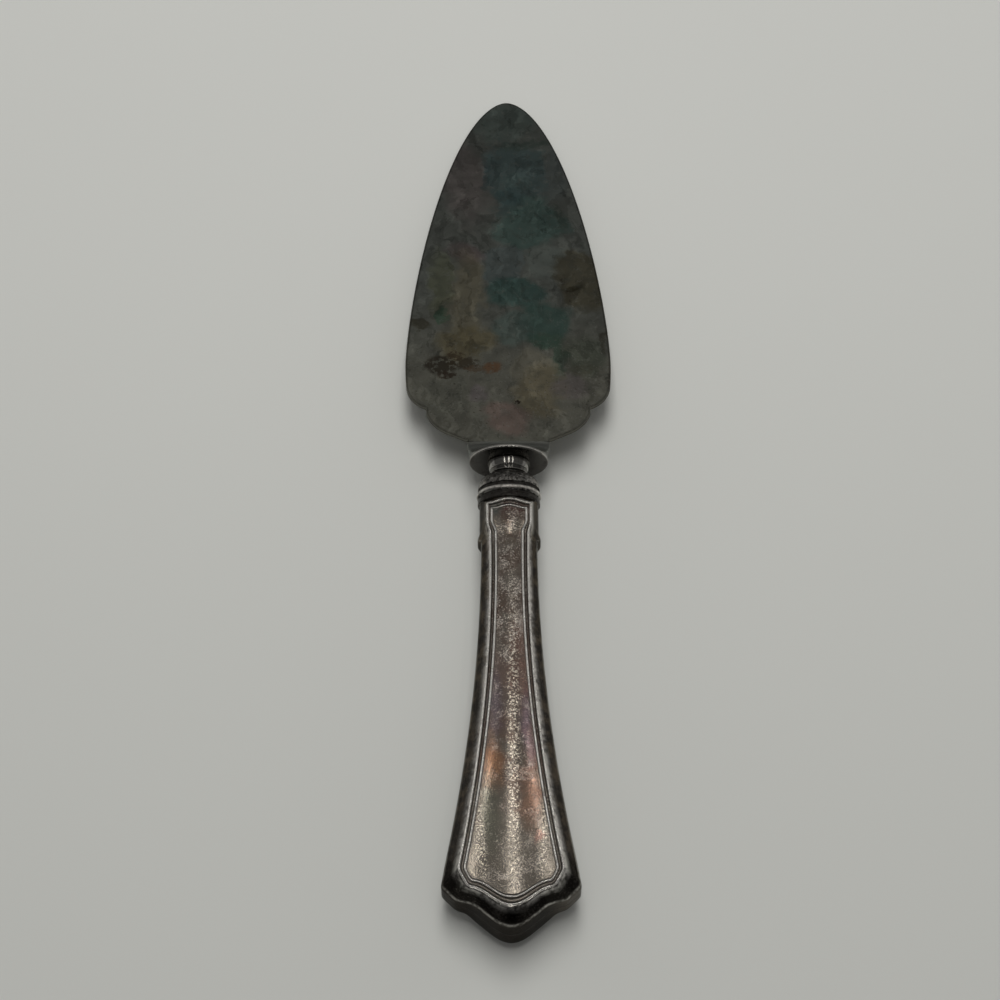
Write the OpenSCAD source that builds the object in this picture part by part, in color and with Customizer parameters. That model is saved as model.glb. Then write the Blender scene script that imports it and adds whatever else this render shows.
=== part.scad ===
// Cake server with a flat notched blade and a hollow, panelled handle.
// The handle's axis is horizontal to within a degree and the blade falls away
// from the fold at its heel, so the server lies on its tip and its butt.
// +Y points to the blade's tip, +X to the right, +Z up from the table.

/* [Blade] */
// Length from the fold at the heel to the tip
blade_l = 126.5; // [110:0.5:140]
// Greatest width
blade_w = 52; // [46:0.5:60]
// Distance of the greatest width from the fold
widest_d = 27.5; // [24:0.5:34]
// Thickness of the sheet
blade_t = 1.3; // [0.9:0.1:1.6]
// Roundness of the tip: a lower power is blunter
tip_power = 0.54; // [0.5:0.01:0.65]
// Fullness of the long edges: a higher power is fuller
edge_power = 1.5; // [1.3:0.05:1.8]
// How far the edge draws in between the greatest width and the shoulder
edge_in = 0.35; // [0.1:0.05:1]
// Radius of the rounded shoulder
shoulder_r = 8.5; // [7:0.1:9.5]
// Turn of the shoulder's arc before it meets the notch, in degrees
shoulder_turn = 64; // [55:1:75]
// Radius of the fillet in the notch
notch_r = 0.8; // [0.4:0.1:1.4]
// Length of the notch's straight side
notch_l = 1.4; // [0.6:0.1:2.5]
// Radius of the lobe below the notch
lobe_r = 10.4; // [9:0.1:12]
// Height of the lobe's circle above the fold
lobe_rise = 2.4; // [1.8:0.1:3]
// Width of the heel at the fold
heel_w = 20.4; // [17:0.1:23]
// Height of the heel's straight side above the fold
heel_rise = 0.9; // [0.2:0.1:1.4]
// Bevel of the sheet's edges, above and below
edge_bevel = 0.35; // [0.1:0.05:0.4]
// Angle between the blade and the handle's axis, in degrees
fold_angle = 6.5; // [5:0.1:8]

/* [Bolster] */
// Length from the fold to the rear face of the flange
bolster_l = 5.8; // [5.2:0.1:9]
// Width of the oval flange
flange_w = 19.3; // [17:0.1:22]
// Height of the oval flange
flange_h = 14.5; // [12:0.1:17]
// Thickness of the flange at its rim
flange_t = 0.8; // [0.5:0.1:1.4]
// Metal of the lip above and below the blade's sheet
lip_t = 0.35; // [0.25:0.05:0.8]
// Width of the blade's tongue inside the bolster
tongue_w = 11; // [7:0.5:13]
// Thickness of the blade's tongue, less than the sheet's
tongue_t = 0.9; // [0.5:0.05:1.2]
// Length of the blade's tongue inside the bolster
tongue_l = 3.4; // [2:0.1:4.2]
// Width of the bead behind the flange
bead_w = 10.6; // [9.5:0.1:12.5]
// Length of the bead along the axis
bead_l = 2.3; // [1.6:0.1:3]
// Least width of the neck
neck_w = 8.4; // [7.4:0.1:9.2]
// Length of the neck between the bead and the ferrule
neck_l = 1.9; // [1.4:0.1:3]

/* [Tang] */
// Diameter of the tang
tang_d = 3.4; // [2.4:0.1:4]
// Depth of the tang in the bolster behind the blade's tongue
tang_in = 0.8; // [0.3:0.1:1]
// Length of the tang inside the handle, from the ferrule's skirt
tang_l = 62; // [40:1:80]

/* [Ferrule] */
// Width of the bead ring
ring_w = 15.7; // [14.5:0.1:17]
// Height of the bead ring
ring_h = 10.6; // [10:0.1:11.5]
// Length of the bead ring along the axis
ring_l = 1.6; // [1.2:0.1:2.2]
// Length of the dome
dome_l = 4; // [3.2:0.1:4.6]
// Width of the flat at the top of the dome
land_w = 9.4; // [9.2:0.1:10.6]
// Width of the dome at its foot
dome_w = 15; // [13.5:0.1:15.4]
// Length of the groove above the ring
groove_l = 0.9; // [0.5:0.1:1.4]
// Depth of the grooves on each side of the ring
groove_d = 0.35; // [0.2:0.05:0.6]
// Length of the narrow groove below the ring
gutter_l = 0.45; // [0.3:0.05:0.9]
// Width of the skirt
skirt_w = 15.1; // [14.6:0.1:16]
// Length of the skirt
skirt_l = 1.6; // [1:0.1:2.5]
// Length of the spigot inside the handle
spigot_l = 3; // [1.5:0.1:4]

/* [Handle] */
// Length from the ferrule's skirt to the middle of the butt
handle_l = 111; // [95:0.5:125]
// Width of the capital below the ferrule
capital_w = 14.2; // [13.4:0.1:14.5]
// Thickness of the capital over its panels
capital_h = 10.4; // [9.8:0.1:11]
// Height of the capital's upright sides at the ferrule
capital_side_h = 2.4; // [1.6:0.1:4]
// Length of the capital's straight sides
capital_l = 7.2; // [5.5:0.1:9]
// Length of the capital's foot, where it steps in to the waist
foot_l = 3.7; // [3:0.1:5]
// How far the foot flares out at the sides
foot_flare = 0.75; // [0.3:0.05:1.2]
// How far the foot's edge at the sides lies behind its edge at the panel
foot_lag = 0.9; // [0.6:0.1:2.4]
// Width of the waist
waist_w = 13.4; // [12.4:0.1:14.6]
// Thickness of the waist over its panels
waist_h = 10; // [9.4:0.1:11]
// Height of the waist's upright sides
waist_side_h = 6.4; // [5:0.1:7]
// Width of the bevel beside the panel at the waist
waist_bevel = 2; // [1.6:0.1:2.6]
// Width of the butt at its corners
butt_w = 31; // [26:0.1:34]
// Thickness of the butt over its panels
butt_h = 14.6; // [13:0.1:16]
// Height of the butt's upright sides
butt_side_h = 9.4; // [7:0.1:10.4]
// Width of the bevel beside the panel at the butt
butt_bevel = 3.4; // [2.4:0.1:4.2]
// Curve of the flare from waist to butt: a higher power flares later
flare_power = 2.05; // [1.6:0.05:2.4]
// Set-in of the butt's chamfered corner across the handle
corner_in = 3.3; // [2:0.1:5]
// Length of the butt's chamfered corner along the handle
corner_l = 3.3; // [2:0.1:5]
// Share of the upright side that the butt's chamfered corner cuts away
corner_dip = 0.42; // [0:0.01:0.5]
// Depth of the bow at the end of the butt
bow = 6.9; // [4:0.1:9]
// Share of the upright side and of the bevel that is rounded where they meet
edge_round = 0.22; // [0.1:0.01:0.35]
// Sheet thickness of the shells
wall = 0.8; // [0.5:0.05:1]

/* [Panel] */
// Width of the panel in the capital, over its outer thread
capital_panel_w = 10.6; // [9.6:0.1:11.4]
// Distance of the panel's crown from the ferrule's skirt
crown_d = 0.8; // [0.5:0.1:2]
// Height of the pointed crown above its shoulders
crown_rise = 1.2; // [0.5:0.1:1.6]
// Set-in of the panel's chamfered corner across the handle
panel_corner_in = 2.2; // [1:0.1:4]
// Length of the panel's chamfered corner along the handle
panel_corner_l = 4.4; // [3:0.1:6]
// Depth of the bow at the end of the panel
panel_bow = 4.6; // [3:0.1:6]
// Set-back of the panel's end from the seam at the butt
panel_back = 3.6; // [2.4:0.1:4.2]
// Distance between the two raised threads along the sides
thread_gap = 1.5; // [1.1:0.05:1.8]
// Distance between the two raised threads at the crown
thread_gap_top = 2; // [1.4:0.1:2.4]
// Distance between the two raised threads at the capital's sides
thread_gap_capital = 1.15; // [0.9:0.05:1.4]
// Distance between the two raised threads at the bowed end
thread_gap_end = 2.2; // [1.5:0.1:2.8]
// Height of the threads above the edge of the panel
thread_h = 0.12; // [0.05:0.01:0.25]
// Depth of the groove between the threads
groove_depth = 0.26; // [0.1:0.02:0.36]
// Depth of the panel's field below the threads' base
field_sink = 0.2; // [0.05:0.01:0.3]
// Convexity of the panel at the capital
crown_top = 0.3; // [0:0.05:0.6]
// Convexity of the panel at the butt
crown_end = 0.6; // [0:0.05:1]

/* [Fits] */
// Solder gap between pieces that slide into each other
solder_gap = 0.05; // [0.03:0.01:0.1]
// Gap between the filling and the shells
fill_gap = 0.1; // [0.05:0.01:0.2]

/* [Hidden] */
$fn = 64;

function mix(a, b, v) = a + (b - a) * v;
function clamp01(v) = min(1, max(0, v));
function ease(v) = (1 - cos(180 * v)) / 2;
function flip(pts) = [for (i = [len(pts) - 1 : -1 : 0]) [-pts[i].x, pts[i].y]];
function arc(c, r, a0, a1, n) = [for (i = [0 : n]) c + r * [cos(mix(a0, a1, i / n)), sin(mix(a0, a1, i / n))]];

// Stations along the handle's axis, as distances behind the flange's rear face
t_neck = bead_l + neck_l;
t_dome = t_neck + dome_l;
t_ring = t_dome + groove_l;
t_gutter = t_ring + ring_l;
t_skirt = t_gutter + gutter_l;
t_collar = t_skirt + skirt_l;
t_foot = t_collar + capital_l;
t_waist = t_foot + foot_l;
t_ear = t_foot + foot_lag;
t_flare = t_waist + foot_lag;
t_end = t_collar + handle_l;
t_corner2 = t_end - bow;
t_corner1 = t_corner2 - corner_l;
ferrule_k = ring_h / ring_w;
bolster_k = flange_h / flange_w;

// Outline of the blade, chained from the heel up to the tip
side_a = atan(2 * edge_in / (widest_d - lobe_r - lobe_rise));
lobe_start = 17;
sh_x = blade_w / 2 - edge_in - shoulder_r * cos(side_a);
notch_x = sh_x + (shoulder_r + notch_r) * cos(shoulder_turn) - notch_r;
lobe_c = [notch_x - lobe_r * cos(lobe_start), lobe_r + lobe_rise];
notch_y = lobe_c.y - lobe_r * sin(lobe_start) + notch_l;
sh_c = [sh_x, notch_y + (shoulder_r + notch_r) * sin(shoulder_turn)];
heel_c = [heel_w / 2, heel_rise];
heel_v = heel_c - lobe_c;
lobe_end = atan2(heel_v.y, heel_v.x) + acos(lobe_r / norm(heel_v));
side_y = sh_c.y - shoulder_r * sin(side_a);
ogive_l = blade_l - widest_d;
function ogive(s) = blade_w / 2 * pow(1 - pow(1 - s / ogive_l, edge_power), tip_power);
blade_right = concat(
    [heel_c],
    arc(lobe_c, lobe_r, lobe_end, -lobe_start, 9),
    arc([notch_x + notch_r, notch_y], notch_r, 180, 180 - shoulder_turn, 4),
    [for (i = [1 : 10]) sh_c + shoulder_r * [cos(mix(-shoulder_turn, -side_a, i / 10)),
        sin(mix(-shoulder_turn, -side_a, i / 10))]],
    [for (i = [1 : 3]) let (v = i / 3) [blade_w / 2 - edge_in * pow(1 - v, 2), mix(side_y, widest_d, v)]],
    [for (i = [23 : -1 : 1]) let (s = ogive_l * pow(i / 24, 2)) [ogive(s), blade_l - s]]);

// Half loop of stations round a handle shell: collar, capital, foot, flare, corner, bow
n_a = 7;
n_b = 2;
n_c = 7;
n_d = 12;
n_e = 2;
n_f = 9;
half_n = n_a + n_b + n_c + n_d + n_e + n_f;
loop = concat(
    [for (i = [0 : n_a]) [0, i / n_a]],
    [for (i = [1 : n_b]) [1, i / n_b]],
    [for (i = [1 : n_c]) [2, i / n_c]],
    [for (i = [1 : n_d]) [3, i / n_d]],
    [for (i = [1 : n_e]) [4, i / n_e]],
    [for (i = [1 : n_f]) [5, i / n_f]]);

// Outline of a shell at its upright sides, drawn in by g: [x, distance behind the flange, height of the seam]
function along_flare(t) = clamp01((t - t_flare) / (t_corner1 - t_flare));
function flare(t) = mix(waist_w, butt_w, pow(along_flare(t), flare_power)) / 2;
function foot_bump(v) = foot_flare * (v < 0.7 ? pow(sin(90 * v / 0.7), 2) : pow(cos(300 * (v - 0.7)), 2));
function seam(k, v, g) =
    k == 0 ? [(capital_w / 2 - g) * sin(90 * v), t_collar, (capital_h / 2 - wall / 4 - g) * cos(90 * v)]
  : k == 1 ? [capital_w / 2 - g, mix(t_collar, t_ear, v), 0]
  : k == 2 ? [mix(capital_w, waist_w, ease(v)) / 2 + foot_bump(v) - g, mix(t_ear, t_flare, v), 0]
  : k == 3 ? let (t = mix(t_flare, t_corner1, v)) [flare(t) - g, t, 0]
  : k == 4 ? [butt_w / 2 - corner_in * v - g, mix(t_corner1, t_corner2, v) - g * v / 2, 0]
  : [(butt_w / 2 - corner_in - g) * (1 - v), t_corner2 + bow * ease(v) - g * (1 + v) / 2, 0];
// Height of the upright sides above the seam: low up to the foot, lower again at the butt's corners
function dip(t) = corner_dip * ease(clamp01(t < t_corner1 ? 1 - (t_corner1 - t) / corner_l / 2
    : 1 - (t - t_corner2) / bow / 0.3));
function side_top(t) = t < t_flare
  ? mix(capital_side_h, waist_side_h, pow(clamp01((t - t_ear) / (t_flare - t_ear)), 4)) / 2
  : mix(waist_side_h, butt_side_h, along_flare(t)) / 2 * (1 - dip(t));

// Height of the panel's edge and of its convex face above the seam
p_shoulder = t_collar + crown_d + crown_rise;
p_end = t_end - panel_back;
p_corner2 = p_end - panel_bow;
p_corner1 = p_corner2 - panel_corner_l;
function edge_h(t) = t < t_waist
  ? mix(capital_h, waist_h, clamp01((t - t_foot) / foot_l)) / 2
  : mix(waist_h, butt_h, clamp01((t - t_waist) / (p_corner1 - t_waist))) / 2;
function half_panel(t) = t < t_waist
  ? mix(capital_panel_w, waist_w - 2 * waist_bevel, ease(clamp01((t - t_foot) / foot_l))) / 2
  : let (u = min(t, p_corner1)) flare(u) - mix(waist_bevel, butt_bevel, along_flare(u));
function convexity(t) = mix(crown_top, crown_end, clamp01((t - t_foot) / (p_corner1 - t_foot)));
function face_h(x, t) = edge_h(t) + convexity(t) * max(0, 1 - pow(x / half_panel(t), 2));

// Outer and inner thread in plan: [x, distance behind the flange]
p_capital = half_panel(t_collar);
p_wide = half_panel(p_corner1);
function outer_thread(k, v) =
    k == 0 ? [p_capital * sin(90 * v), t_collar + crown_d + crown_rise * ease(sin(90 * v))]
  : k == 1 ? [p_capital, mix(p_shoulder, t_foot, v)]
  : k == 2 ? let (t = mix(t_foot, t_waist, v)) [half_panel(t), t]
  : k == 3 ? let (t = mix(t_waist, p_corner1, v)) [half_panel(t), t]
  : k == 4 ? [p_wide - panel_corner_in * v, mix(p_corner1, p_corner2, v)]
  : [(p_wide - panel_corner_in) * (1 - v), p_corner2 + panel_bow * ease(v)];
function inner_thread(k, v) = let (o = outer_thread(k, v))
    k == 0 ? [o.x * (1 - thread_gap_capital / p_capital),
        o.y + thread_gap_top - (thread_gap_top - thread_gap) * ease(v)]
  : k == 1 ? [o.x - thread_gap_capital, mix(p_shoulder + thread_gap, t_foot, v)]
  : k == 2 ? [o.x - mix(thread_gap_capital, thread_gap, v), o.y - thread_gap / 2 * v]
  : k == 3 ? [o.x - thread_gap, o.y - thread_gap / 2 * (1 - v)]
  : k == 4 ? [o.x - mix(thread_gap, thread_gap / 2, v), o.y - thread_gap * v]
  : [o.x * (1 - thread_gap / 2 / (p_wide - panel_corner_in)), o.y - mix(thread_gap, thread_gap_end, v)];

// One ring on the panel's border: u runs from the outer thread (0) to the inner one (1)
function border(k, v, u, rise) =
    let (p = mix(outer_thread(k, v), inner_thread(k, v), u)) [p.x, p.y, face_h(p.x, p.y) + rise];
t_mid = (p_shoulder + p_corner2) / 2;
function field(k, v, q, sink) =
    let (e = border(k, v, 1.28, 0), x = e.x * (1 - q), t = t_mid + (e.y - t_mid) * (1 - 0.06 * q))
    [x, t, face_h(x, t) - sink];

// Rings of the side: upright from the seam, rounded over (s from 0 to 1) and then bevelled to the panel
function side(k, v, s) =
    let (a = seam(k, v, 0), b = border(k, v, -0.18, -thread_h), e = side_top(a.y) / b.z,
        f = e - e * edge_round * pow(1 - s, 2) + (1 - e) * edge_round * s * s,
        q = edge_round * s * s, m = k == 0 ? mix(f, q, v) : q)
    [mix(a.x, b.x, m), mix(a.y, b.y, m), mix(a.z, b.z, f)];

// Inner face of the shell: its rim below the border and its flat field
function rim_in(k, v, g) =
    let (p = border(k, v, -0.18, -g), lean = k == 0 || k == 5 ? sin(90 * (k == 0 ? v : 1 - v)) : 1,
        step = k == 0 ? 1 : k == 4 ? -v : k == 5 ? -1 : 0)
    [p.x - g * lean / 2, p.y + g * step / 2, p.z - field_sink];
function side_in(k, v, g) =
    let (a = seam(k, v, g), b = rim_in(k, v, g), f = (side_top(a.y) - g / 2) / b.z, m = k == 0 ? mix(f, 0, v) : 0)
    [mix(a.x, b.x, m), mix(a.y, b.y, m), mix(a.z, b.z, f)];
function field_in(k, v, q, g) =
    let (p = rim_in(k, v, g), x = p.x * (1 - q), t = t_mid + (p.y - t_mid) * (1 - 0.06 * q))
    [x, t, face_h(x, t) - field_sink - g];

// Rings are half loops mirrored to close them; points become [x, -t, z]
function ring(half) = concat(
    [for (p = half) [p.x, -p.y, p.z]],
    [for (i = [half_n - 1 : -1 : 1]) [-half[i].x, -half[i].y, half[i].z]]);
loop_n = 2 * half_n;
function face_rings() = concat(
    [for (q = [0.8, 0.45]) ring([for (s = loop) field(s[0], s[1], q, field_sink)])],
    [for (b = [[1.28, -field_sink], [1.12, 0], [0.92, 0], [0.74, -groove_depth], [0.42, -groove_depth],
        [0.26, thread_h * 0.7], [0.04, thread_h], [-0.18, -thread_h]])
        ring([for (s = loop) border(s[0], s[1], b[0], b[1])])],
    [for (f = [1, 0.5, 0]) ring([for (s = loop) side(s[0], s[1], f)])],
    [ring([for (s = loop) seam(s[0], s[1], 0)])]);
function hollow_rings(g) = concat(
    [ring([for (s = loop) seam(s[0], s[1], g)])],
    [ring([for (s = loop) side_in(s[0], s[1], g)])],
    [ring([for (s = loop) rim_in(s[0], s[1], g)])],
    [for (q = [0.45, 0.8]) ring([for (s = loop) field_in(s[0], s[1], q, g)])]);
function bands(rings, n) = [for (r = [0 : rings - 2]) for (i = [0 : n - 1])
    let (j = (i + 1) % n, a = r * n, b = a + n) each [[a + i, b + j, a + j], [a + i, b + i, b + j]]];
// A closed loft over convex rings, with a fan over the first and the last
function lofted(rings, n) = concat(bands(rings, n),
    [for (i = [1 : n - 2]) [0, i, i + 1]],
    [for (i = [1 : n - 2]) let (b = (rings - 1) * n) [b, b + i + 1, b + i]]);
// Strips across a ring between its two mirrored halves, from station j0 to j1
function strips(base, n, j0, j1, up) = [for (j = [j0 : j1 - 1])
    let (r0 = base + j, r1 = base + j + 1, l0 = base + (n - j) % n, l1 = base + n - j - 1)
    each [for (t = [[r0, r1, l1], [r0, l1, l0]]) if (t[0] != t[1] && t[1] != t[2] && t[0] != t[2])
        up ? t : [t[0], t[2], t[1]]]];

module half_shell() {
    rings = concat(face_rings(), hollow_rings(wall));
    n = len(rings);
    polyhedron(
        points = [for (r = rings) each r],
        faces = concat(bands(n, loop_n), strips(0, loop_n, 0, half_n, true),
            strips((n - 1) * loop_n, loop_n, 0, half_n, false)));
}

// Each half of the filling laps into the other one past the seam, so that the two make one body
function lap_in(k, v, g) = let (a = seam(k, v, g + fill_gap))
    [a.x, a.y + (k == 0 ? fill_gap : 0), a.z - fill_gap * (k == 0 ? v : 1)];

module half_filling(g) {
    rings = concat([ring([for (s = loop) lap_in(s[0], s[1], g)])], hollow_rings(g));
    n = len(rings);
    inward = concat(bands(n, loop_n), strips(0, loop_n, 0, half_n, true),
        strips((n - 1) * loop_n, loop_n, 0, half_n, false));
    polyhedron(
        points = [for (r = rings) each r],
        faces = [for (f = inward) [f[2], f[1], f[0]]]);
}

// Bolster: rings from the blade's lip to the flange, morphing from a slot's lip to an oval
bolster_n = 48;
lip_h = blade_t / 2 + lip_t;
function squircle(a, b, n, tilt, y) = [for (i = [0 : bolster_n - 1])
    let (t = 360 * (i + 0.5) / bolster_n, c = cos(t), s = sin(t),
        x = a * sign(c) * pow(abs(c), 2 / n), z = b * sign(s) * pow(abs(s), 2 / n))
    [x, y + z * sin(tilt), z * cos(tilt)]];
sweep_l = bolster_l - flange_t;
bolster_rings = concat(
    [for (v = [0, 0.2, 0.4, 0.55, 0.7, 0.82, 0.92, 1])
        squircle(mix(heel_w, flange_w, ease(v)) / 2, mix(lip_h, flange_h / 2, pow(v, 2.6)),
            mix(6, 2, v), fold_angle * pow(1 - v, 2), bolster_l - sweep_l * v)],
    [squircle(flange_w / 2, flange_h / 2, 2, 0, flange_t * 0.35),
     squircle(flange_w / 2 - flange_t * 0.2, flange_h / 2 - flange_t * 0.2, 2, 0, 0)]);

// Places a piece that is drawn along the axis of the handle in its resting pose
tip_y = bolster_l + (blade_l - edge_bevel) * cos(fold_angle) - blade_t / 2 * sin(fold_angle);
tip_z = -(blade_l - edge_bevel) * sin(fold_angle) - blade_t / 2 * cos(fold_angle);
butt_p = border(5, 1, 0.04, thread_h);
rest_tilt = -atan2(tip_z + butt_p.z, tip_y + butt_p.y);
lift = butt_p.y * sin(rest_tilt) + butt_p.z * cos(rest_tilt);
rim_h = blade_t / 2 - edge_bevel;
far_y = (bolster_l + blade_l * cos(fold_angle) + rim_h * sin(fold_angle)) * cos(rest_tilt)
    + (blade_l * sin(fold_angle) - rim_h * cos(fold_angle)) * sin(rest_tilt);
near_y = -t_end * cos(rest_tilt) - side_top(t_end) * (1 - edge_round) * sin(rest_tilt);
module rest() {
    translate([0, -(far_y + near_y) / 2, lift])
        rotate([rest_tilt, 0, 0])
            children();
}

// Turns a revolve drawn with its axis on Z to run back along the handle
module along() {
    rotate([90, 0, 0])
        children();
}

module blade_pose() {
    translate([0, bolster_l, 0])
        rotate([-fold_angle, 0, 0])
            children();
}

module tang_rod(gap) {
    along()
        translate([0, 0, -tang_in - gap])
            cylinder(d = tang_d + 2 * gap, h = tang_in + t_collar + tang_l + 2 * gap);
}

module blade() {
    color("#4d4f4c")
        rest()
            blade_pose() {
                intersection() {
                    translate([0, 0, -blade_t / 2])
                        linear_extrude(blade_t)
                            blade_outline(0);
                    edge_cutter();
                    mirror([0, 0, 1])
                        edge_cutter();
                }
                translate([-tongue_w / 2, -tongue_l, -tongue_t / 2])
                    cube([tongue_w, tongue_l + heel_rise, tongue_t]);
            }
}

// Outline of the sheet, with its straight heel drawn back behind the fold
module blade_outline(back) {
    half = concat([[heel_w / 2, -back]], blade_right);
    polygon(concat(half, [[0, blade_l]], flip(half)));
}

// Tapered body that leaves the sheet whole below the bevel and bevels its upper edge
module edge_cutter() {
    below = 2 * blade_t - edge_bevel;
    wide = [1 + 2 * below / blade_w, 1 + below / blade_l];
    narrow = [1 - 4 * edge_bevel / blade_w, 1 - 2 * edge_bevel / blade_l];
    translate([0, 0, blade_t / 2 - edge_bevel - below])
        linear_extrude(below + 2 * edge_bevel, slices = 1, scale = [narrow.x / wide.x, narrow.y / wide.y])
            scale(wide)
                blade_outline(heel_rise);
}

module bolster() {
    color("#5a5b59")
        rest()
            difference() {
                union() {
                    polyhedron(
                        points = [for (r = bolster_rings) each r],
                        faces = lofted(len(bolster_rings), bolster_n));
                    along()
                        scale([1, bolster_k, 1])
                            rotate_extrude()
                                bolster_profile();
                }
                blade_pose()
                    translate([-tongue_w / 2 - solder_gap, -tongue_l - solder_gap, -tongue_t / 2 - solder_gap])
                        cube([tongue_w + 2 * solder_gap, tongue_l + 2, tongue_t + 2 * solder_gap]);
                tang_rod(solder_gap);
            }
}

// Half section of the bead and the coved neck: radius across, distance behind the flange up
module bolster_profile() {
    translate([bead_w / 2 - bead_l / 2, bead_l / 2])
        circle(d = bead_l);
    square([bead_w / 2 - bead_l / 2, bead_l]);
    difference() {
        square([neck_w / 2 + neck_l / 5, t_neck]);
        translate([neck_w / 2 + neck_l / 2, bead_l + neck_l / 2])
            circle(d = neck_l);
    }
}

module tang() {
    color("#77736c")
        rest()
            tang_rod(0);
}

// Half section of the ferrule as [radius, distance behind the flange]: dome, groove, bead ring, gutter, skirt
ferrule_profile = concat(
    [for (i = [0 : 8]) let (a = 90 * i / 8)
        [mix(land_w, dome_w, sin(a)) / 2, t_neck + dome_l * (1 - cos(a))]],
    [[dome_w / 2 - groove_d, t_dome], [dome_w / 2 - groove_d, t_ring]],
    [for (i = [0 : 8]) let (a = 180 * i / 8)
        [ring_w / 2 - ring_l / 2 * (1 - sin(a)), t_ring + ring_l / 2 * (1 - cos(a))]],
    [[skirt_w / 2 - groove_d, t_gutter], [skirt_w / 2 - groove_d, t_skirt]],
    [[skirt_w / 2 - groove_d / 3, t_skirt], [skirt_w / 2, t_skirt + groove_d / 2],
     [skirt_w / 2, t_collar - groove_d / 2], [skirt_w / 2 - groove_d / 3, t_collar]]);
oval_n = 56;
function oval(r, t) = [for (i = [0 : oval_n - 1]) let (a = 360 * i / oval_n)
    [r * cos(a), -t, ferrule_k * r * sin(a)]];

module ferrule() {
    color("#6a6660")
        rest()
            difference() {
                union() {
                    polyhedron(
                        points = [for (p = ferrule_profile) each oval(p.x, p.y)],
                        faces = lofted(len(ferrule_profile), oval_n));
                    spigot();
                }
                tang_rod(solder_gap);
            }
}

// Oval spigot that centres the two shells on the ferrule
module spigot() {
    a = capital_w / 2 - wall - fill_gap;
    b = capital_h / 2 - wall * 1.25 - fill_gap;
    along()
        translate([0, 0, t_skirt])
            scale([1, b / a, 1])
                cylinder(r = a, h = skirt_l + spigot_l);
}

module upper_shell() {
    color("#8a8078")
        rest()
            half_shell();
}

module lower_shell() {
    color("#6f6a64")
        rest()
            mirror([0, 0, 1])
                half_shell();
}

module filler() {
    color("#b9b2a4")
        rest()
            difference() {
                union() {
                    half_filling(wall + fill_gap);
                    mirror([0, 0, 1])
                        half_filling(wall + fill_gap);
                }
                along()
                    cylinder(r = capital_w, h = t_collar + spigot_l + fill_gap);
                tang_rod(solder_gap);
            }
}

blade();
bolster();
tang();
ferrule();
upper_shell();
lower_shell();
filler();
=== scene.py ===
"""Cake server in tarnished silver plate: its pieces, finishes, light and camera."""

import logging
import math
from dataclasses import dataclass
from enum import Enum
from typing import Any, Dict, Iterable, List, Optional, Sequence, Tuple, Union

import bpy
import numpy as np
from mathutils import Matrix


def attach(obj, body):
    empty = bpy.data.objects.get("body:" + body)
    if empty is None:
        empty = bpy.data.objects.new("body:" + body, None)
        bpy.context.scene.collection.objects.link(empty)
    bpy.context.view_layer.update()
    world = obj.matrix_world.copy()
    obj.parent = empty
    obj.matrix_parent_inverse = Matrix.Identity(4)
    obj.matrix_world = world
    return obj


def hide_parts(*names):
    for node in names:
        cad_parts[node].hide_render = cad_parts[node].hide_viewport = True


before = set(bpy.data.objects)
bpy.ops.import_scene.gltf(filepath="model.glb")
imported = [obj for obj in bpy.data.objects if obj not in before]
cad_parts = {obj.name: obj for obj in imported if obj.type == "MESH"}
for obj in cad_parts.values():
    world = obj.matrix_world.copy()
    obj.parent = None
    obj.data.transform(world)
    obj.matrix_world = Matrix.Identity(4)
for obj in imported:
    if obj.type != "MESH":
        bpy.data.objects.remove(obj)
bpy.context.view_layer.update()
log = logging.getLogger("cake_server")
MM = 0.001

Colour = Tuple[float, float, float]
Point = Tuple[float, float, float]
Section = List[Tuple[float, float]]
Belts = Tuple[Tuple[float, float], ...]

WHITE: Colour = (1.0, 1.0, 1.0)
EDGE_TINT = (0.5, 0.5, 0.5, 1.0)
MIRROR = np.array([-1.0, 1.0, 1.0])
STRIP_LIGHT: Colour = (1.0, 0.97, 0.92)
BRIGHT_WEAR: Colour = (0.66, 0.64, 0.60)
SHARP_DEG = 50.0


class Slot(Enum):
    """Material slots."""

    BLADE = "blade_plate"
    BOLSTER = "bolster_plate"
    FERRULE = "ferrule_plate"
    HANDLE = "handle_plate"


class Half(Enum):
    """The two stamped halves of the hollow handle, by the sign of their height."""

    UPPER = 1.0
    LOWER = -1.0


def mix(a: Any, b: Any, v: Any) -> Any:
    """Blend from a to b by v."""
    return a + (b - a) * v


def clamp01(v: Any) -> Any:
    """Hold v between 0 and 1."""
    return np.clip(v, 0.0, 1.0)


def ease(v: Any) -> Any:
    """Cosine ease from 0 to 1."""
    return (1.0 - np.cos(np.pi * v)) / 2.0


def arc(first_deg: float, last_deg: float, count: int) -> np.ndarray:
    """Evenly spaced angles in radians, both ends included."""
    return np.radians(np.linspace(first_deg, last_deg, count))


def rgba(colour: Colour) -> Tuple[float, float, float, float]:
    """The colour with full opacity."""
    return (colour[0], colour[1], colour[2], 1.0)


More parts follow.
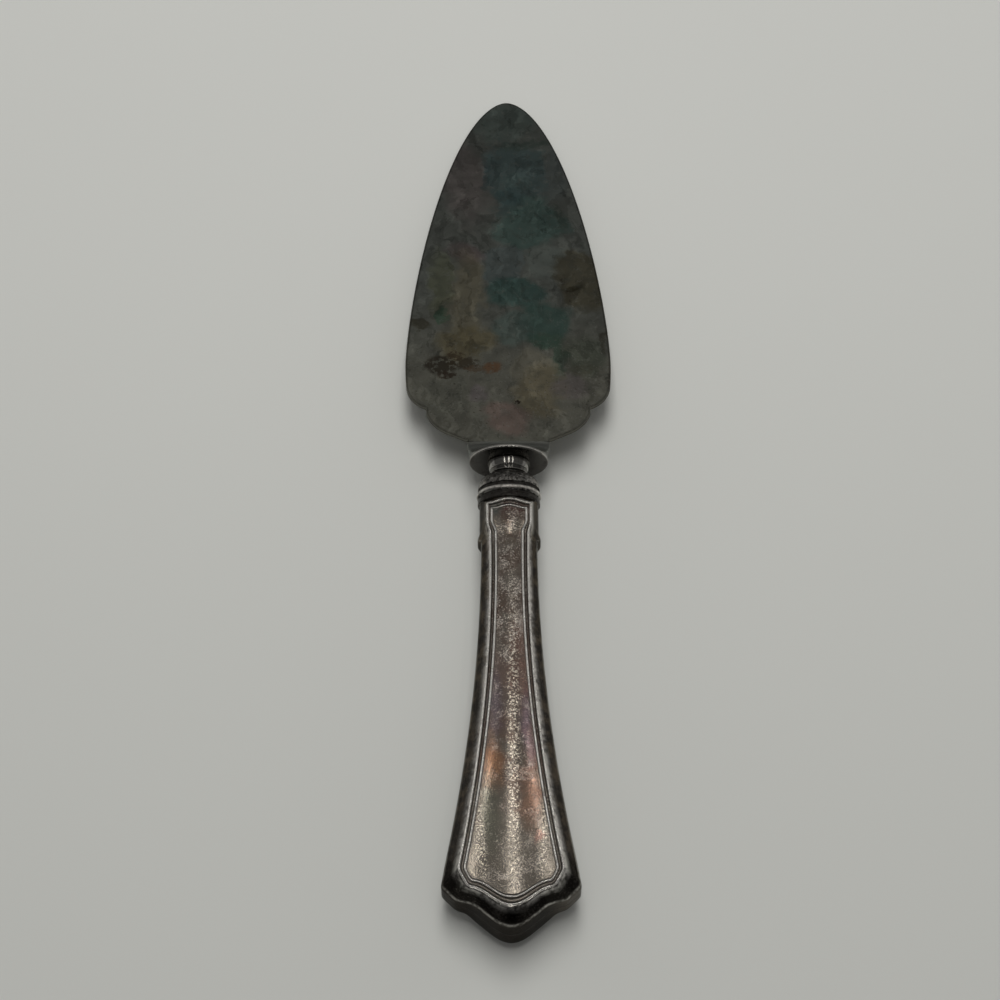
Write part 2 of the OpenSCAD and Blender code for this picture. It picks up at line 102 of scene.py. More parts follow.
class Value:
    """A node socket that takes part in arithmetic, adding Math nodes as it goes."""

    def __init__(self, recipe: "Recipe", socket: bpy.types.NodeSocket) -> None:
        """Wrap a socket of the recipe's tree."""
        self.recipe = recipe
        self.socket = socket

    def _math(self, operation: str, first: Any, second: Any = 0.0) -> "Value":
        """Add one Math node and return its result."""
        return self.recipe.node("ShaderNodeMath", {"operation": operation}, {0: first, 1: second})

    def __add__(self, other: Any) -> "Value":
        """self + other."""
        return self._math("ADD", self, other)

    __radd__ = __add__

    def __sub__(self, other: Any) -> "Value":
        """self - other."""
        return self._math("SUBTRACT", self, other)

    def __rsub__(self, other: Any) -> "Value":
        """other - self."""
        return self._math("SUBTRACT", other, self)

    def __mul__(self, other: Any) -> "Value":
        """self * other."""
        return self._math("MULTIPLY", self, other)

    __rmul__ = __mul__

    def __truediv__(self, other: Any) -> "Value":
        """self / other."""
        return self._math("DIVIDE", self, other)

    def sine(self) -> "Value":
        """Sine of the value in radians."""
        return self._math("SINE", self)

    def cosine(self) -> "Value":
        """Cosine of the value in radians."""
        return self._math("COSINE", self)

    def larger(self, other: Any) -> "Value":
        """The larger of the two values."""
        return self._math("MAXIMUM", self, other)

    def band(self, low: float, high: float, first: float = 0.0, last: float = 1.0) -> "Value":
        """Smooth step of the value.

        Args:
            low: value at which the step starts.
            high: value at which the step ends.
            first: result below low.
            last: result above high.

        Returns:
            The stepped value.
        """
        return self.recipe.node(
            "ShaderNodeMapRange", {"interpolation_type": "SMOOTHSTEP", "clamp": True},
            {0: self, 1: low, 2: high, 3: first, 4: last})


@dataclass(frozen=True)
class Stain:
    """A patch of toning: its middle and half sizes in mm, its colour and how strongly it covers."""

    x: float
    y: float
    across: float
    along: float
    colour: Colour = WHITE
    strength: float = 0.6
    soft: float = 0.6
    turn_deg: float = 0.0


class Recipe:
    """Adds nodes to a shader, world or geometry tree."""

    def __init__(self, tree: bpy.types.NodeTree) -> None:
        """Work on the given tree."""
        self.tree = tree

    def feed(self, socket: bpy.types.NodeSocket, value: Any) -> None:
        """Link a value to a socket, or set the socket to a constant."""
        if isinstance(value, Value):
            self.tree.links.new(value.socket, socket)
        else:
            socket.default_value = value

    def node(self, kind: str, settings: Optional[Dict[str, Any]] = None,
             inputs: Optional[Dict[Union[int, str], Any]] = None, out: Union[int, str] = 0) -> Value:
        """Add a node.

        Args:
            kind: type name of the node.
            settings: properties that are set first.
            inputs: values or links by socket name or number.
            out: name or number of the output that is returned.

        Returns:
            The chosen output, wrapped.
        """
        made = self.tree.nodes.new(kind)
        for name, value in (settings or {}).items():
            setattr(made, name, value)
        for key, value in (inputs or {}).items():
            self.feed(made.inputs[key], value)
        return Value(self, made.outputs[out] if len(made.outputs) else made.inputs[0])

    def axis(self, where: Value, name: str) -> Value:
        """One coordinate of a vector: X, Y or Z."""
        return self.node("ShaderNodeSeparateXYZ", {}, {0: where}, out=name)

    def zone(self, name: str) -> Value:
        """A mask that the mesh carries."""
        return self.node("ShaderNodeAttribute", {"attribute_name": name}, out="Fac")

    def bump(self, strength: float, distance: float, height: Value) -> Value:
        """Normals bent by a height."""
        return self.node("ShaderNodeBump", {}, {"Strength": strength, "Distance": distance, "Height": height})

    def blend(self, factor: Any, first: Any, second: Any) -> Value:
        """Mix two colours by a factor."""
        feeds = [rgba(c) if isinstance(c, tuple) else c for c in (first, second)]
        return self.node("ShaderNodeMix", {"data_type": "RGBA", "clamp_factor": True},
                         {0: factor, 6: feeds[0], 7: feeds[1]}, out=2)

    def layers(self, colour: Any, *coats: Tuple[Any, Colour]) -> Any:
        """Lay coats over a first colour, each as a mask and its colour."""
        for mask, coat in coats:
            colour = self.blend(mask, colour, coat)
        return colour

    @staticmethod
    def largest(masks: Iterable[Value]) -> Any:
        """The largest of several masks."""
        total: Any = 0.0
        for mask in masks:
            total = mask.larger(total)
        return total

    def vector(self, operation: str, first: Any, second: Any, out: Union[int, str] = 0) -> Value:
        """Add one Vector Math node."""
        return self.node("ShaderNodeVectorMath", {"operation": operation}, {0: first, 1: second}, out=out)

    def noise(self, where: Value, size_mm: float, detail: float, rough: float, out: int = 0) -> Value:
        """Noise whose features are about size_mm across."""
        return self.node("ShaderNodeTexNoise", {}, {
            "Vector": where, "Scale": 1.0 / (size_mm * MM), "Detail": detail, "Roughness": rough}, out=out)

    def stretched(self, where: Value, scale: Point, turn_deg: float) -> Value:
        """Coordinates turned about Z and then scaled, for grain and scratches."""
        return self.node("ShaderNodeMapping", {"vector_type": "POINT"}, {
            "Vector": where, "Rotation": (0.0, 0.0, math.radians(turn_deg)), "Scale": scale})

    def warped(self, where: Value, coarse_mm: float, coarse_by: float, fine_mm: float, fine_by: float) -> Value:
        """Coordinates pushed about by two noises, so that what is drawn on them gets ragged edges.

        Args:
            where: coordinates in metres.
            coarse_mm: feature size of the slow noise.
            coarse_by: reach of the slow noise in mm.
            fine_mm: feature size of the fast noise.
            fine_by: reach of the fast noise in mm.

        Returns:
            The pushed coordinates.
        """
        out = where
        for size, reach in ((coarse_mm, coarse_by), (fine_mm, fine_by)):
            push = self.vector("SUBTRACT", self.noise(where, size, 4.0, 0.6, out=1), (0.5, 0.5, 0.5))
            step = 2.0 * reach * MM
            out = self.vector("ADD", out, self.vector("MULTIPLY", push, (step, step, step)))
        return out

    def behind(self, where: Value) -> Value:
        """Distance in mm behind the bolster's flange, along the handle's axis."""
        tilt = math.radians(REST.tilt_deg)
        y = self.axis(where, "Y") / MM + REST.middle
        z = self.axis(where, "Z") / MM - REST.lift
        return (y * math.cos(tilt) + z * math.sin(tilt)) * -1.0

    def patch(self, where: Value, stain: Stain, fray: Optional[Value] = None) -> Value:
        """Mask of one patch of toning.

        Args:
            where: coordinates in metres.
            stain: the patch.
            fray: noise that breaks up the patch's rim.

        Returns:
            The patch's strength inside it and 0 outside.
        """
        local = self.node("ShaderNodeMapping", {"vector_type": "TEXTURE"}, {
            "Vector": where, "Location": (stain.x * MM, stain.y * MM, 0.0),
            "Rotation": (0.0, 0.0, math.radians(stain.turn_deg)),
            "Scale": (stain.across * MM, stain.along * MM, 1.0)})
        flat = self.vector("MULTIPLY", local, (1.0, 1.0, 0.0))
        reach = self.vector("LENGTH", flat, (0.0, 0.0, 0.0), out=1)
        if fray is not None:
            reach = reach + (fray - 0.5) * 0.7
        return reach.band(1.0 - stain.soft, 1.0 + stain.soft, stain.strength, 0.0)


class Finish:
    """A procedural surface; each kind says what it feeds to the shader's sockets."""

    name: str

    def paint(self, recipe: Recipe, where: Value) -> Dict[str, Any]:
        """Values and constants by socket, drawn on the object's own coordinates."""
        raise NotImplementedError

    def material(self) -> bpy.types.Material:
        """Build the finish, which is metal unless it says otherwise.

        Returns:
            The material.
        """
        made = bpy.data.materials.new(self.name)
        made.use_nodes = True
        tree = made.node_tree
        tree.nodes.clear()
        shader = tree.nodes.new("ShaderNodeBsdfPrincipled")
        output = tree.nodes.new("ShaderNodeOutputMaterial")
        tree.links.new(shader.outputs[0], output.inputs["Surface"])
        recipe = Recipe(tree)
        where = recipe.node("ShaderNodeTexCoord", out="Object")
        for name, value in {"Metallic": 1.0, **self.paint(recipe, where)}.items():
            recipe.feed(shader.inputs[name], value)
        return made


@dataclass(frozen=True)
class BladeFinish(Finish):
    """Dark, rainbow-toned plate on the blade, with fine scratches and pits, and painted shade along its edge.
    """

    name: str = "blade_toned_plate"
    plate: Colour = (0.285, 0.304, 0.28)
    shade: Colour = (0.215, 0.229, 0.21)
    heel: Colour = (0.345, 0.33, 0.27)
    rough: float = 0.29
    saturation: float = 1.12
    dabs: Tuple[Tuple[float, float, float, float], ...] = (
        (28.0, 13.0, 0.55, -0.20), (-40.0, 11.0, 0.57, 0.20),
        (64.0, 7.0, 0.60, -0.22), (-12.0, 6.0, 0.60, 0.24))
    wipes: Tuple[Tuple[float, float], ...] = ((12.0, 26.0), (-34.0, 22.0), (78.0, 30.0))
    stains: Tuple[Stain, ...] = (
        Stain(-0.4, 119.5, 7.6, 7.8, (0.243, 0.304, 0.280), 0.66, 0.33),
        Stain(-12.0, 97.3, 5.8, 17.2, (0.347, 0.304, 0.295), 0.66, 0.45, 12),
        Stain(12.4, 98.1, 3.7, 15.2, (0.230, 0.266, 0.261), 0.61, 0.39, -10),
        Stain(1.6, 99.2, 8.5, 13.1, (0.189, 0.261, 0.261), 0.83, 0.16, 8),
        Stain(3.7, 110.3, 6.5, 2.2, (0.146, 0.194, 0.170), 0.66, 0.33),
        Stain(-6.6, 97.2, 1.1, 6.2, (0.127, 0.182, 0.192), 0.55, 0.33, 6),
        Stain(2.9, 95.2, 4.1, 2.8, (0.230, 0.314, 0.300), 0.55, 0.26),
        Stain(0.1, 86.4, 4.0, 5.9, (0.153, 0.247, 0.252), 0.55, 0.39),
        Stain(6.1, 78.6, 9.0, 10.2, (0.205, 0.309, 0.280), 0.83, 0.20, -12),
        Stain(14.2, 81.5, 1.1, 4.8, (0.146, 0.182, 0.156), 0.55, 0.33),
        Stain(-1.9, 63.6, 6.0, 8.6, (0.266, 0.314, 0.310), 0.83, 0.13),
        Stain(11.2, 64.4, 6.2, 5.1, (0.358, 0.402, 0.370), 0.72, 0.20, -20),
        Stain(19.9, 57.5, 7.0, 11.1, (0.201, 0.190, 0.142), 0.94, 0.16, 20),
        Stain(17.2, 55.4, 2.9, 1.3, (0.110, 0.103, 0.071), 0.83, 0.33),
        Stain(2.6, 53.4, 7.5, 6.2, (0.148, 0.250, 0.228), 0.83, 0.22),
        Stain(10.2, 42.2, 7.4, 7.9, (0.138, 0.232, 0.205), 0.83, 0.22),
        Stain(10.7, 36.0, 4.5, 2.8, (0.140, 0.222, 0.170), 0.66, 0.33),
        Stain(0.6, 40.0, 5.1, 5.8, (0.266, 0.356, 0.326), 0.66, 0.26),
        Stain(13.2, 29.4, 1.8, 6.5, (0.127, 0.213, 0.163), 0.66, 0.33, -10),
        Stain(-17.6, 56.3, 2.5, 11.1, (0.305, 0.324, 0.217), 0.61, 0.39),
        Stain(-16.8, 45.4, 1.1, 2.5, (0.167, 0.284, 0.208), 0.77, 0.33),
        Stain(-10.5, 67.3, 4.0, 4.2, (0.358, 0.280, 0.290), 0.61, 0.36),
        Stain(-10.9, 50.8, 4.6, 17.0, (0.420, 0.385, 0.282), 0.70, 0.36),
        Stain(-11.1, 35.6, 6.7, 6.2, (0.372, 0.328, 0.208), 0.72, 0.30),
        Stain(5.9, 26.9, 6.0, 5.4, (0.441, 0.426, 0.348), 0.88, 0.14),
        Stain(8.0, 19.2, 5.6, 8.1, (0.440, 0.392, 0.275), 0.74, 0.32),
        Stain(-0.2, 10.0, 6.2, 4.6, (0.441, 0.335, 0.300), 0.72, 0.29),
        Stain(15.5, 20.0, 3.4, 3.8, (0.336, 0.294, 0.300), 0.55, 0.39),
        Stain(19.5, 30.3, 5.1, 7.0, (0.213, 0.247, 0.192), 0.61, 0.33),
        Stain(-16.1, 17.6, 6.9, 6.4, (0.305, 0.309, 0.261), 0.61, 0.33),
        Stain(-6.8, 18.4, 3.1, 3.4, (0.405, 0.351, 0.376), 0.55, 0.39),
        Stain(-22.5, 41.9, 2.7, 1.8, (0.140, 0.132, 0.100), 0.83, 0.26),
        Stain(24.8, 36.3, 1.0, 4.4, (0.133, 0.123, 0.090), 0.72, 0.33),
    )
    blotches: Tuple[Stain, ...] = (
        Stain(-16.9, 27.8, 4.0, 3.3, (0.078, 0.066, 0.049), 0.90, 0.26),
        Stain(-11.5, 28.5, 3.9, 2.1, (0.096, 0.079, 0.053), 0.88, 0.30),
        Stain(-13.5, 31.3, 2.2, 1.6, (0.133, 0.103, 0.067), 0.88, 0.26),
        Stain(-15.6, 24.4, 2.1, 1.3, (0.094, 0.074, 0.055), 0.94, 0.26),
        Stain(-4.1, 27.1, 2.3, 1.7, (0.315, 0.161, 0.076), 0.72, 0.39, 15),
        Stain(-8.4, 26.5, 2.5, 0.9, (0.197, 0.129, 0.076), 0.61, 0.33),
        Stain(19.1, 25.9, 3.8, 2.2, (0.167, 0.161, 0.117), 0.50, 0.39),
        Stain(2.6, 15.0, 0.6, 0.6, (0.050, 0.039, 0.032), 0.95, 0.26),
    )

    def paint(self, recipe: Recipe, where: Value) -> Dict[str, Any]:
        """Lay toning, brush marks, specks, rust, pits, scratches and painted shade on the edge over the plate.
        """
        ragged = recipe.warped(where, 12.0, 5.0, 3.4, 1.5)
        torn = recipe.warped(where, 3.2, 1.8, 0.9, 0.6)
        place = recipe.axis(where, "Y")
        low = place.band(0.028, 0.044, 1.0, 0.15)
        fray = recipe.noise(where, 7.0, 5.0, 0.6)
        colour = recipe.layers(
            self.plate, (recipe.noise(where, 9.0, 5.0, 0.6).band(0.36, 0.68, 0.0, 0.4), self.shade),
            (place.band(0.020, 0.060, 0.6, 0.0), self.heel),
            *((recipe.patch(ragged, stain, fray), stain.colour) for stain in self.stains))
        value: Any = 0.95
        for turn, size, first, strength in self.dabs:
            brush = recipe.noise(recipe.stretched(ragged, (2.2, 1.0, 1.0), turn), size, 3.0, 0.55)
            value = brush.band(first, first + 0.05, 0.0, strength) + value
        colour = recipe.node("ShaderNodeHueSaturation", {}, {
            "Saturation": self.saturation, "Value": value, "Color": colour})
        gaps = recipe.noise(where, 1.3, 5.0, 0.65).band(0.38, 0.50, 0.15, 1.0)
        rust = [recipe.patch(torn, stain) * gaps for stain in self.blotches]
        specks = recipe.noise(where, 0.5, 2.0, 0.5).band(0.60, 0.74) * low
        pits = recipe.noise(where, 0.6, 1.0, 0.4).band(0.66, 0.78) * low
        scratch = recipe.largest(
            recipe.noise(recipe.stretched(where, (stretch, 1.0, 1.0), turn), 7.0, 2.0, 0.5).band(0.69, 0.74)
            for turn, stretch in self.wipes)
        colour = recipe.layers(
            colour,
            (recipe.noise(where, 2.6, 5.0, 0.65).band(0.48, 0.70, 0.0, 0.42), (0.165, 0.175, 0.152)),
            (recipe.noise(ragged, 1.9, 5.0, 0.65).band(0.54, 0.74, 0.0, 0.34), (0.46, 0.47, 0.42)),
            (specks * 0.45, (0.52, 0.51, 0.46)),
            *((mask, stain.colour) for mask, stain in zip(rust, self.blotches)),
            (pits * 0.55, (0.09, 0.085, 0.07)), (scratch * 0.12, (0.60, 0.60, 0.55)),
            # painted shade on the bevelled edge, where it would mirror the shadowed table
            (recipe.zone("rim") * 0.85, (0.06, 0.057, 0.05)))
        rough = (recipe.noise(where, 4.0, 4.0, 0.6).band(0.3, 0.7, self.rough, self.rough + 0.07)
                 + recipe.largest(rust) * 0.03 + pits * 0.05)
        height = (recipe.noise(where, 16.0, 2.0, 0.5) * 0.5 + recipe.noise(where, 0.5, 3.0, 0.6) * 0.012
                  - scratch * 0.008 - pits * 0.02)
        return {"Base Color": colour, "Roughness": rough, "Normal": recipe.bump(0.35, 0.0004, height),
                "Specular Tint": EDGE_TINT}


@dataclass(frozen=True)
class PlateFinish(Finish):
    """Toned silver plate on the turned pieces: bolster and ferrule."""

    name: str
    plate: Colour
    tone: Colour
    pitted: float
    rough: float
    tone_from: float
    tone_to: float
    tarnish_and_shade: Belts
    wear_and_glint: Belts
    tarnish_and_shade_strength: float
    front: Optional[Colour] = None

    @staticmethod
    def _belts(behind: Value, belts: Belts, soft: float) -> Any:
        """Mask of the belts between two distances behind the flange."""
        return Recipe.largest(
            behind.band(first - soft, first + soft) * behind.band(last - soft, last + soft, 1.0, 0.0)
            for first, last in belts)

    def paint(self, recipe: Recipe, where: Value) -> Dict[str, Any]:
        """Lay toning, pits, bright wear, belts of rubbed wear with painted highlight and belts of tarnish with
        painted shade over the plate.
        """
        cloud = recipe.noise(recipe.warped(where, 3.0, 1.0, 0.8, 0.3), 3.0, 4.0, 0.6)
        warm = recipe.noise(where, 1.8, 3.0, 0.55).band(0.55, 0.75, 0.0, 0.2)
        pits = recipe.noise(where, 0.34 + 0.5 * self.pitted, 3.0, 0.6).band(0.52, 0.58)
        worn = recipe.noise(where, 0.28 + 0.5 * self.pitted, 2.0, 0.5).band(0.58, 0.64)
        behind = recipe.behind(where)
        coats = [(cloud.band(self.tone_from, self.tone_to, 0.0, 0.85), self.tone), (warm, (0.30, 0.22, 0.15)),
                 (pits * (0.25 + 0.6 * self.pitted), (0.03, 0.028, 0.025)),
                 (worn * (0.15 + 0.5 * self.pitted), BRIGHT_WEAR)]
        # bright belts: rubbed wear with a painted highlight along rims and crests
        if self.wear_and_glint:
            spread = recipe.noise(where, 0.9, 3.0, 0.6).band(0.34, 0.6, 0.3, 1.0)
            coats.append((self._belts(behind, self.wear_and_glint, 0.18) * spread, (0.80, 0.77, 0.72)))
        # dark belts: tarnish with painted shade in hollows and where the pieces meet, only painted shade on the
        # flange's face
        if self.tarnish_and_shade:
            coats.append((self._belts(behind, self.tarnish_and_shade, 0.10) * self.tarnish_and_shade_strength, (0.03, 0.027, 0.024)))
        rough = cloud.band(0.3, 0.75, self.rough, self.rough + 0.16) + pits * (0.05 + 0.15 * self.pitted)
        if self.front is not None:
            ahead = behind.band(-1.3, -0.8, 1.0, 0.0)
            coats.append((ahead * cloud.band(0.3, 0.7, 1.0, 0.75), self.front))
            rough = rough + ahead * 0.25
        height = recipe.noise(where, 0.5, 3.0, 0.6) * (0.15 + self.pitted) - pits * self.pitted
        return {"Base Color": recipe.layers(self.plate, *coats), "Roughness": rough,
                "Normal": recipe.bump(0.15 + 0.45 * self.pitted, 0.00012, height)}


@dataclass(frozen=True)
class HandleFinish(Finish):
    """Worn plate on the handle: grooves blackened by tarnish and painted shade, sides in painted shade, bright
    edges with painted light, painted highlight streaks, copper-red toning and granular wear.
    """

    name: str = "handle_worn_plate"
    plate: Colour = (0.162, 0.145, 0.123)
    umber: Colour = (0.108, 0.07, 0.054)
    tarnish_and_shade: Colour = (0.04, 0.036, 0.032)
    bright: Colour = BRIGHT_WEAR
    rough: float = 0.085
    reds: Tuple[Stain, ...] = (
        Stain(-3.9, -90.0, 2.2, 5.0, (0.28, 0.15, 0.085), 0.6, 0.6),
        Stain(4.4, -97.0, 2.6, 8.5, (0.26, 0.14, 0.095), 0.55, 0.6),
        Stain(4.6, -85.0, 1.6, 4.5, (0.19, 0.12, 0.145), 0.45, 0.7),
        Stain(0.8, -20.0, 4.4, 4.2, (0.07, 0.042, 0.034), 0.9, 0.5),
        Stain(-3.0, -20.5, 1.1, 2.2, (0.06, 0.08, 0.075), 0.8, 0.6),
        Stain(2.2, -62.0, 2.4, 12.0, (0.19, 0.11, 0.09), 0.6, 0.8),
        Stain(-2.4, -70.0, 2.0, 8.0, (0.19, 0.125, 0.105), 0.5, 0.8),
        Stain(6.0, -108.0, 1.0, 1.6, (0.30, 0.13, 0.10), 0.4, 0.7),
        Stain(-3.2, -74.0, 1.5, 8.0, (0.10, 0.088, 0.115), 0.6, 0.7),
        Stain(3.4, -77.0, 1.3, 6.0, (0.115, 0.08, 0.115), 0.55, 0.7),
        Stain(-4.6, -103.0, 2.0, 7.0, (0.125, 0.13, 0.105), 0.6, 0.7),
    )
    # painted highlight streaks where the strip lamps mirror in the panel: one down the middle, one near each
    # side at the butt
    highlight_streaks: Tuple[Stain, ...] = (
        Stain(0.7, -80.0, 1.3, 38.0, strength=1.0),
        Stain(-7.0, -106.0, 1.0, 11.0, strength=0.8, soft=0.7, turn_deg=6.0),
        Stain(7.5, -106.0, 1.0, 11.0, strength=0.8, soft=0.7, turn_deg=-6.0),
    )
    frosted: Stain = Stain(-0.3, -48.0, 4.2, 34.0, strength=1.0, soft=0.55)

    def paint(self, recipe: Recipe, where: Value) -> Dict[str, Any]:
        """Lay toning, painted shade on the sides, frosty wear, painted highlight streaks, pits, bright edges
        with painted light, and tarnish with painted shade in the grooves over the plate.
        """
        across, place = recipe.axis(where, "X"), recipe.axis(where, "Y")
        groove, edge, side, wall = (recipe.zone(name) for name in ("groove", "edge", "side", "wall"))
        panel = 1.0 - side
        upper = place.band(-0.108, -0.090)
        ragged = recipe.warped(where, 5.0, 2.2, 1.4, 0.7)
        cloud = recipe.noise(ragged, 6.0, 4.0, 0.6)
        smoky = recipe.noise(ragged, 3.4, 5.0, 0.65).band(0.50, 0.72, 0.0, 0.6)
        olive = recipe.noise(ragged, 2.8, 4.0, 0.6).band(0.42, 0.66)
        toned = recipe.layers(
            self.plate, (cloud.band(0.34, 0.64) * upper * 0.8, self.umber),
            *((recipe.patch(ragged, stain) * panel, stain.colour) for stain in self.reds),
            (smoky * (0.35 + 0.65 * upper), (0.12, 0.10, 0.085)))
        shadowed = recipe.layers(
            (0.045, 0.041, 0.036), (olive * place.band(-0.122, -0.106), (0.12, 0.10, 0.075)),
            (wall * across.band(0.006, 0.013) * 0.9, (0.17, 0.155, 0.135)),
            ((1.0 - wall) * place.band(-0.118, -0.106, 0.95, 0.0), (0.010, 0.009, 0.008)))
        grain = recipe.noise(where, 0.34, 3.0, 0.6) * 0.6 + recipe.noise(ragged, 4.5, 3.0, 0.6) * 0.55
        worn = recipe.patch(where, self.frosted).larger(0.35 + upper * 0.1)
        frost = grain.band(0.60, 0.68) * worn * (1.0 - side * 0.8)
        lines = recipe.largest(recipe.patch(where, line) for line in self.highlight_streaks)
        # painted highlight: gold glints along the streaks
        streak_glints = recipe.noise(where, 0.46, 2.0, 0.5).band(0.50, 0.60) * lines * panel
        flecks = recipe.noise(where, 0.24, 2.0, 0.5).band(0.64, 0.70)
        pits = recipe.noise(where, 0.30, 3.0, 0.55).band(0.60, 0.68)
        wear_and_glint = recipe.noise(where, 1.1, 3.0, 0.6) * 0.6 + recipe.noise(where, 8.0, 2.0, 0.5) * 0.5
        lit = side * across.band(0.002, 0.007, -0.25, 0.3) + place.band(-0.114, -0.098, 0.25, 0.0)
        colour = recipe.layers(
            recipe.blend(side, toned, shadowed), (frost * 0.8, (0.52, 0.475, 0.43)),
            (streak_glints * 0.68, (0.76, 0.70, 0.60)), (flecks * 0.35 * (1.0 - side * 0.5), (0.52, 0.48, 0.44)),
            (pits * 0.5, (0.06, 0.05, 0.045)),
            (edge * wear_and_glint.band(0.42, 0.62, 0.15, 1.0) * (1.0 + lit), self.bright),
            # grooves and seam: tarnish with painted shade
            (groove * 0.92, self.tarnish_and_shade))
        rough = (cloud.band(0.3, 0.7, self.rough - 0.02, self.rough + 0.06) + frost * 0.16
                 + groove * 0.25 + pits * 0.1 + streak_glints * 0.12)
        height = recipe.noise(where, 0.34, 1.0, 0.5) * 0.22 - pits * 0.25 + frost * 0.12
        return {"Base Color": colour, "Roughness": rough, "Normal": recipe.bump(0.3, 0.0001, height),
                "Specular Tint": EDGE_TINT}


@dataclass(frozen=True)
class ThreadFinish(Finish):
    """Rubbed bright silver on the raised threads, dulled in patches."""

    name: str = "thread_rubbed_plate"
    bright: Colour = (0.78, 0.76, 0.72)
    dull: Colour = (0.42, 0.38, 0.34)

    def paint(self, recipe: Recipe, where: Value) -> Dict[str, Any]:
        """Lay dull patches and dark specks over the bright silver."""
        cloud = recipe.noise(where, 3.2, 4.0, 0.65)
        specks = recipe.noise(where, 0.4, 3.0, 0.6).band(0.58, 0.66)
        colour = recipe.layers(self.bright, (cloud.band(0.50, 0.74, 0.0, 0.8), self.dull),
                               (specks * 0.6, (0.09, 0.08, 0.07)))
        return {"Base Color": colour, "Roughness": cloud.band(0.35, 0.7, 0.18, 0.30) + specks * 0.1,
                "Normal": recipe.bump(0.2, 0.0001, recipe.noise(where, 0.6, 3.0, 0.6))}


@dataclass(frozen=True)
class InnerFinish(Finish):
    """Plain finish for the tang and the filling, which the shells close in."""

    name: str
    base: Colour
    dark: Colour
    metal: float
    rough: float
    grain_mm: float

    def paint(self, recipe: Recipe, where: Value) -> Dict[str, Any]:
        """Mix the two colours by one grain."""
        grain = recipe.noise(where, self.grain_mm, 4.0, 0.6)
        return {"Base Color": recipe.blend(grain.band(0.35, 0.7), self.base, self.dark), "Metallic": self.metal,
                "Roughness": grain.band(0.3, 0.7, self.rough - 0.06, self.rough + 0.08),
                "Normal": recipe.bump(0.2, 0.0002, grain)}


@dataclass(frozen=True)
class FloorFinish(Finish):
    """Matt pale table top, a little paler away from the camera, as painted fall-off of the light."""

    name: str = "pale_table"
    far: Colour = (0.80, 0.81, 0.785)
    near: Colour = (0.665, 0.675, 0.65)

    def paint(self, recipe: Recipe, where: Value) -> Dict[str, Any]:
        """Fade the two colours along the table, as painted light falling off towards the camera."""
        away = recipe.axis(where, "Y") + recipe.noise(where, 90.0, 2.0, 0.5) * 0.03
        return {"Base Color": recipe.blend(away.band(-0.24, 0.30), self.near, self.far), "Metallic": 0.0,
                "Normal": recipe.bump(0.05, 0.0001, recipe.noise(where, 0.5, 2.0, 0.5)),
                "Roughness": 0.62, "Specular IOR Level": 0.25}


def turn_x(points: np.ndarray, degrees: float) -> np.ndarray:
    """Turn points about the X axis."""
    c, s = math.cos(math.radians(degrees)), math.sin(math.radians(degrees))
    out = np.array(points, dtype=float)
    y, z = out[..., 1].copy(), out[..., 2].copy()
    out[..., 1] = y * c - z * s
    out[..., 2] = y * s + z * c
    return out


@dataclass(frozen=True)
class RestPose:
    """The resting pose: a piece drawn along the handle's axis is turned about X, raised and centred (mm)."""

    tilt_deg: float = 1.57533
    lift: float = 11.3176
    middle: float = 4.02628

    def place(self, points: np.ndarray) -> np.ndarray:
        """Put points into the part's frame.

        Args:
            points: coordinates in mm along the handle's axis, in the last dimension.

        Returns:
            The coordinates in the part's frame in metres.
        """
        return (turn_x(points, self.tilt_deg) + (0.0, -self.middle, self.lift)) * MM


REST = RestPose()


def volume(points: np.ndarray, faces: Sequence[Sequence[int]]) -> float:
    """Signed volume that the faces enclose, positive where they point outwards."""
    total = 0.0
    for face in faces:
        a = points[face[0]]
        for i in range(1, len(face) - 1):
            total += float(np.dot(a, np.cross(points[face[i]], points[face[i + 1]])))
    return total / 6.0


def show(name: str, data: Any) -> bpy.types.Object:
    """Make an object of the data and link it to the scene."""
    made = bpy.data.objects.new(name, data)
    bpy.context.scene.collection.objects.link(made)
    return made


def make_piece(name: str, points: np.ndarray, faces: List[List[int]], material: bpy.types.Material,
               sharp_deg: float = SHARP_DEG, zones: Optional[Dict[str, np.ndarray]] = None) -> bpy.types.Object:
    """Make a closed mesh piece with outward faces, and link it to the scene.

    Args:
        name: name of the piece.
        points: vertices in metres, in the part's frame.
        faces: vertex numbers of each face.
        material: finish of the piece.
        sharp_deg: angle from which an edge stays sharp.
        zones: masks for the finish, one number for each vertex.

    Returns:
        The piece's object.
    """
    if volume(points - points.mean(axis=0), faces) < 0.0:
        faces = [list(reversed(face)) for face in faces]
    mesh = bpy.data.meshes.new(name)
    mesh.from_pydata(points.tolist(), [], faces)
    mesh.update()
    for zone, numbers in (zones or {}).items():
        layer = mesh.attributes.new(zone, "FLOAT", "POINT")
        layer.data.foreach_set("value", np.asarray(numbers, dtype=np.float32))
    mesh.materials.append(material)
    mesh.shade_smooth()
    mesh.set_sharp_from_angle(angle=math.radians(sharp_deg))
    return show(name, mesh)


def bands(rings: int, count: int, capped: bool = False) -> List[List[int]]:
    """Quads between closed rings of count points each, and a cap at each end if wanted."""
    faces: List[List[int]] = []
    for r in range(rings - 1):
        a, b = r * count, (r + 1) * count
        for i in range(count):
            j = (i + 1) % count
            faces.append([a + i, b + i, b + j, a + j])
    if capped:
        faces += [list(range(count)), list(range((rings - 1) * count, rings * count))[::-1]]
    return faces


def settle(piece: bpy.types.Object, slot: Slot, *nodes: str) -> bpy.types.Object:
    """Let a finished piece ride on the body and stand for its nodes."""
    if nodes:
        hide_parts(*nodes)
    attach(piece, "root")
    log.info("%s: %d faces", piece.name, len(piece.data.polygons))
    return piece


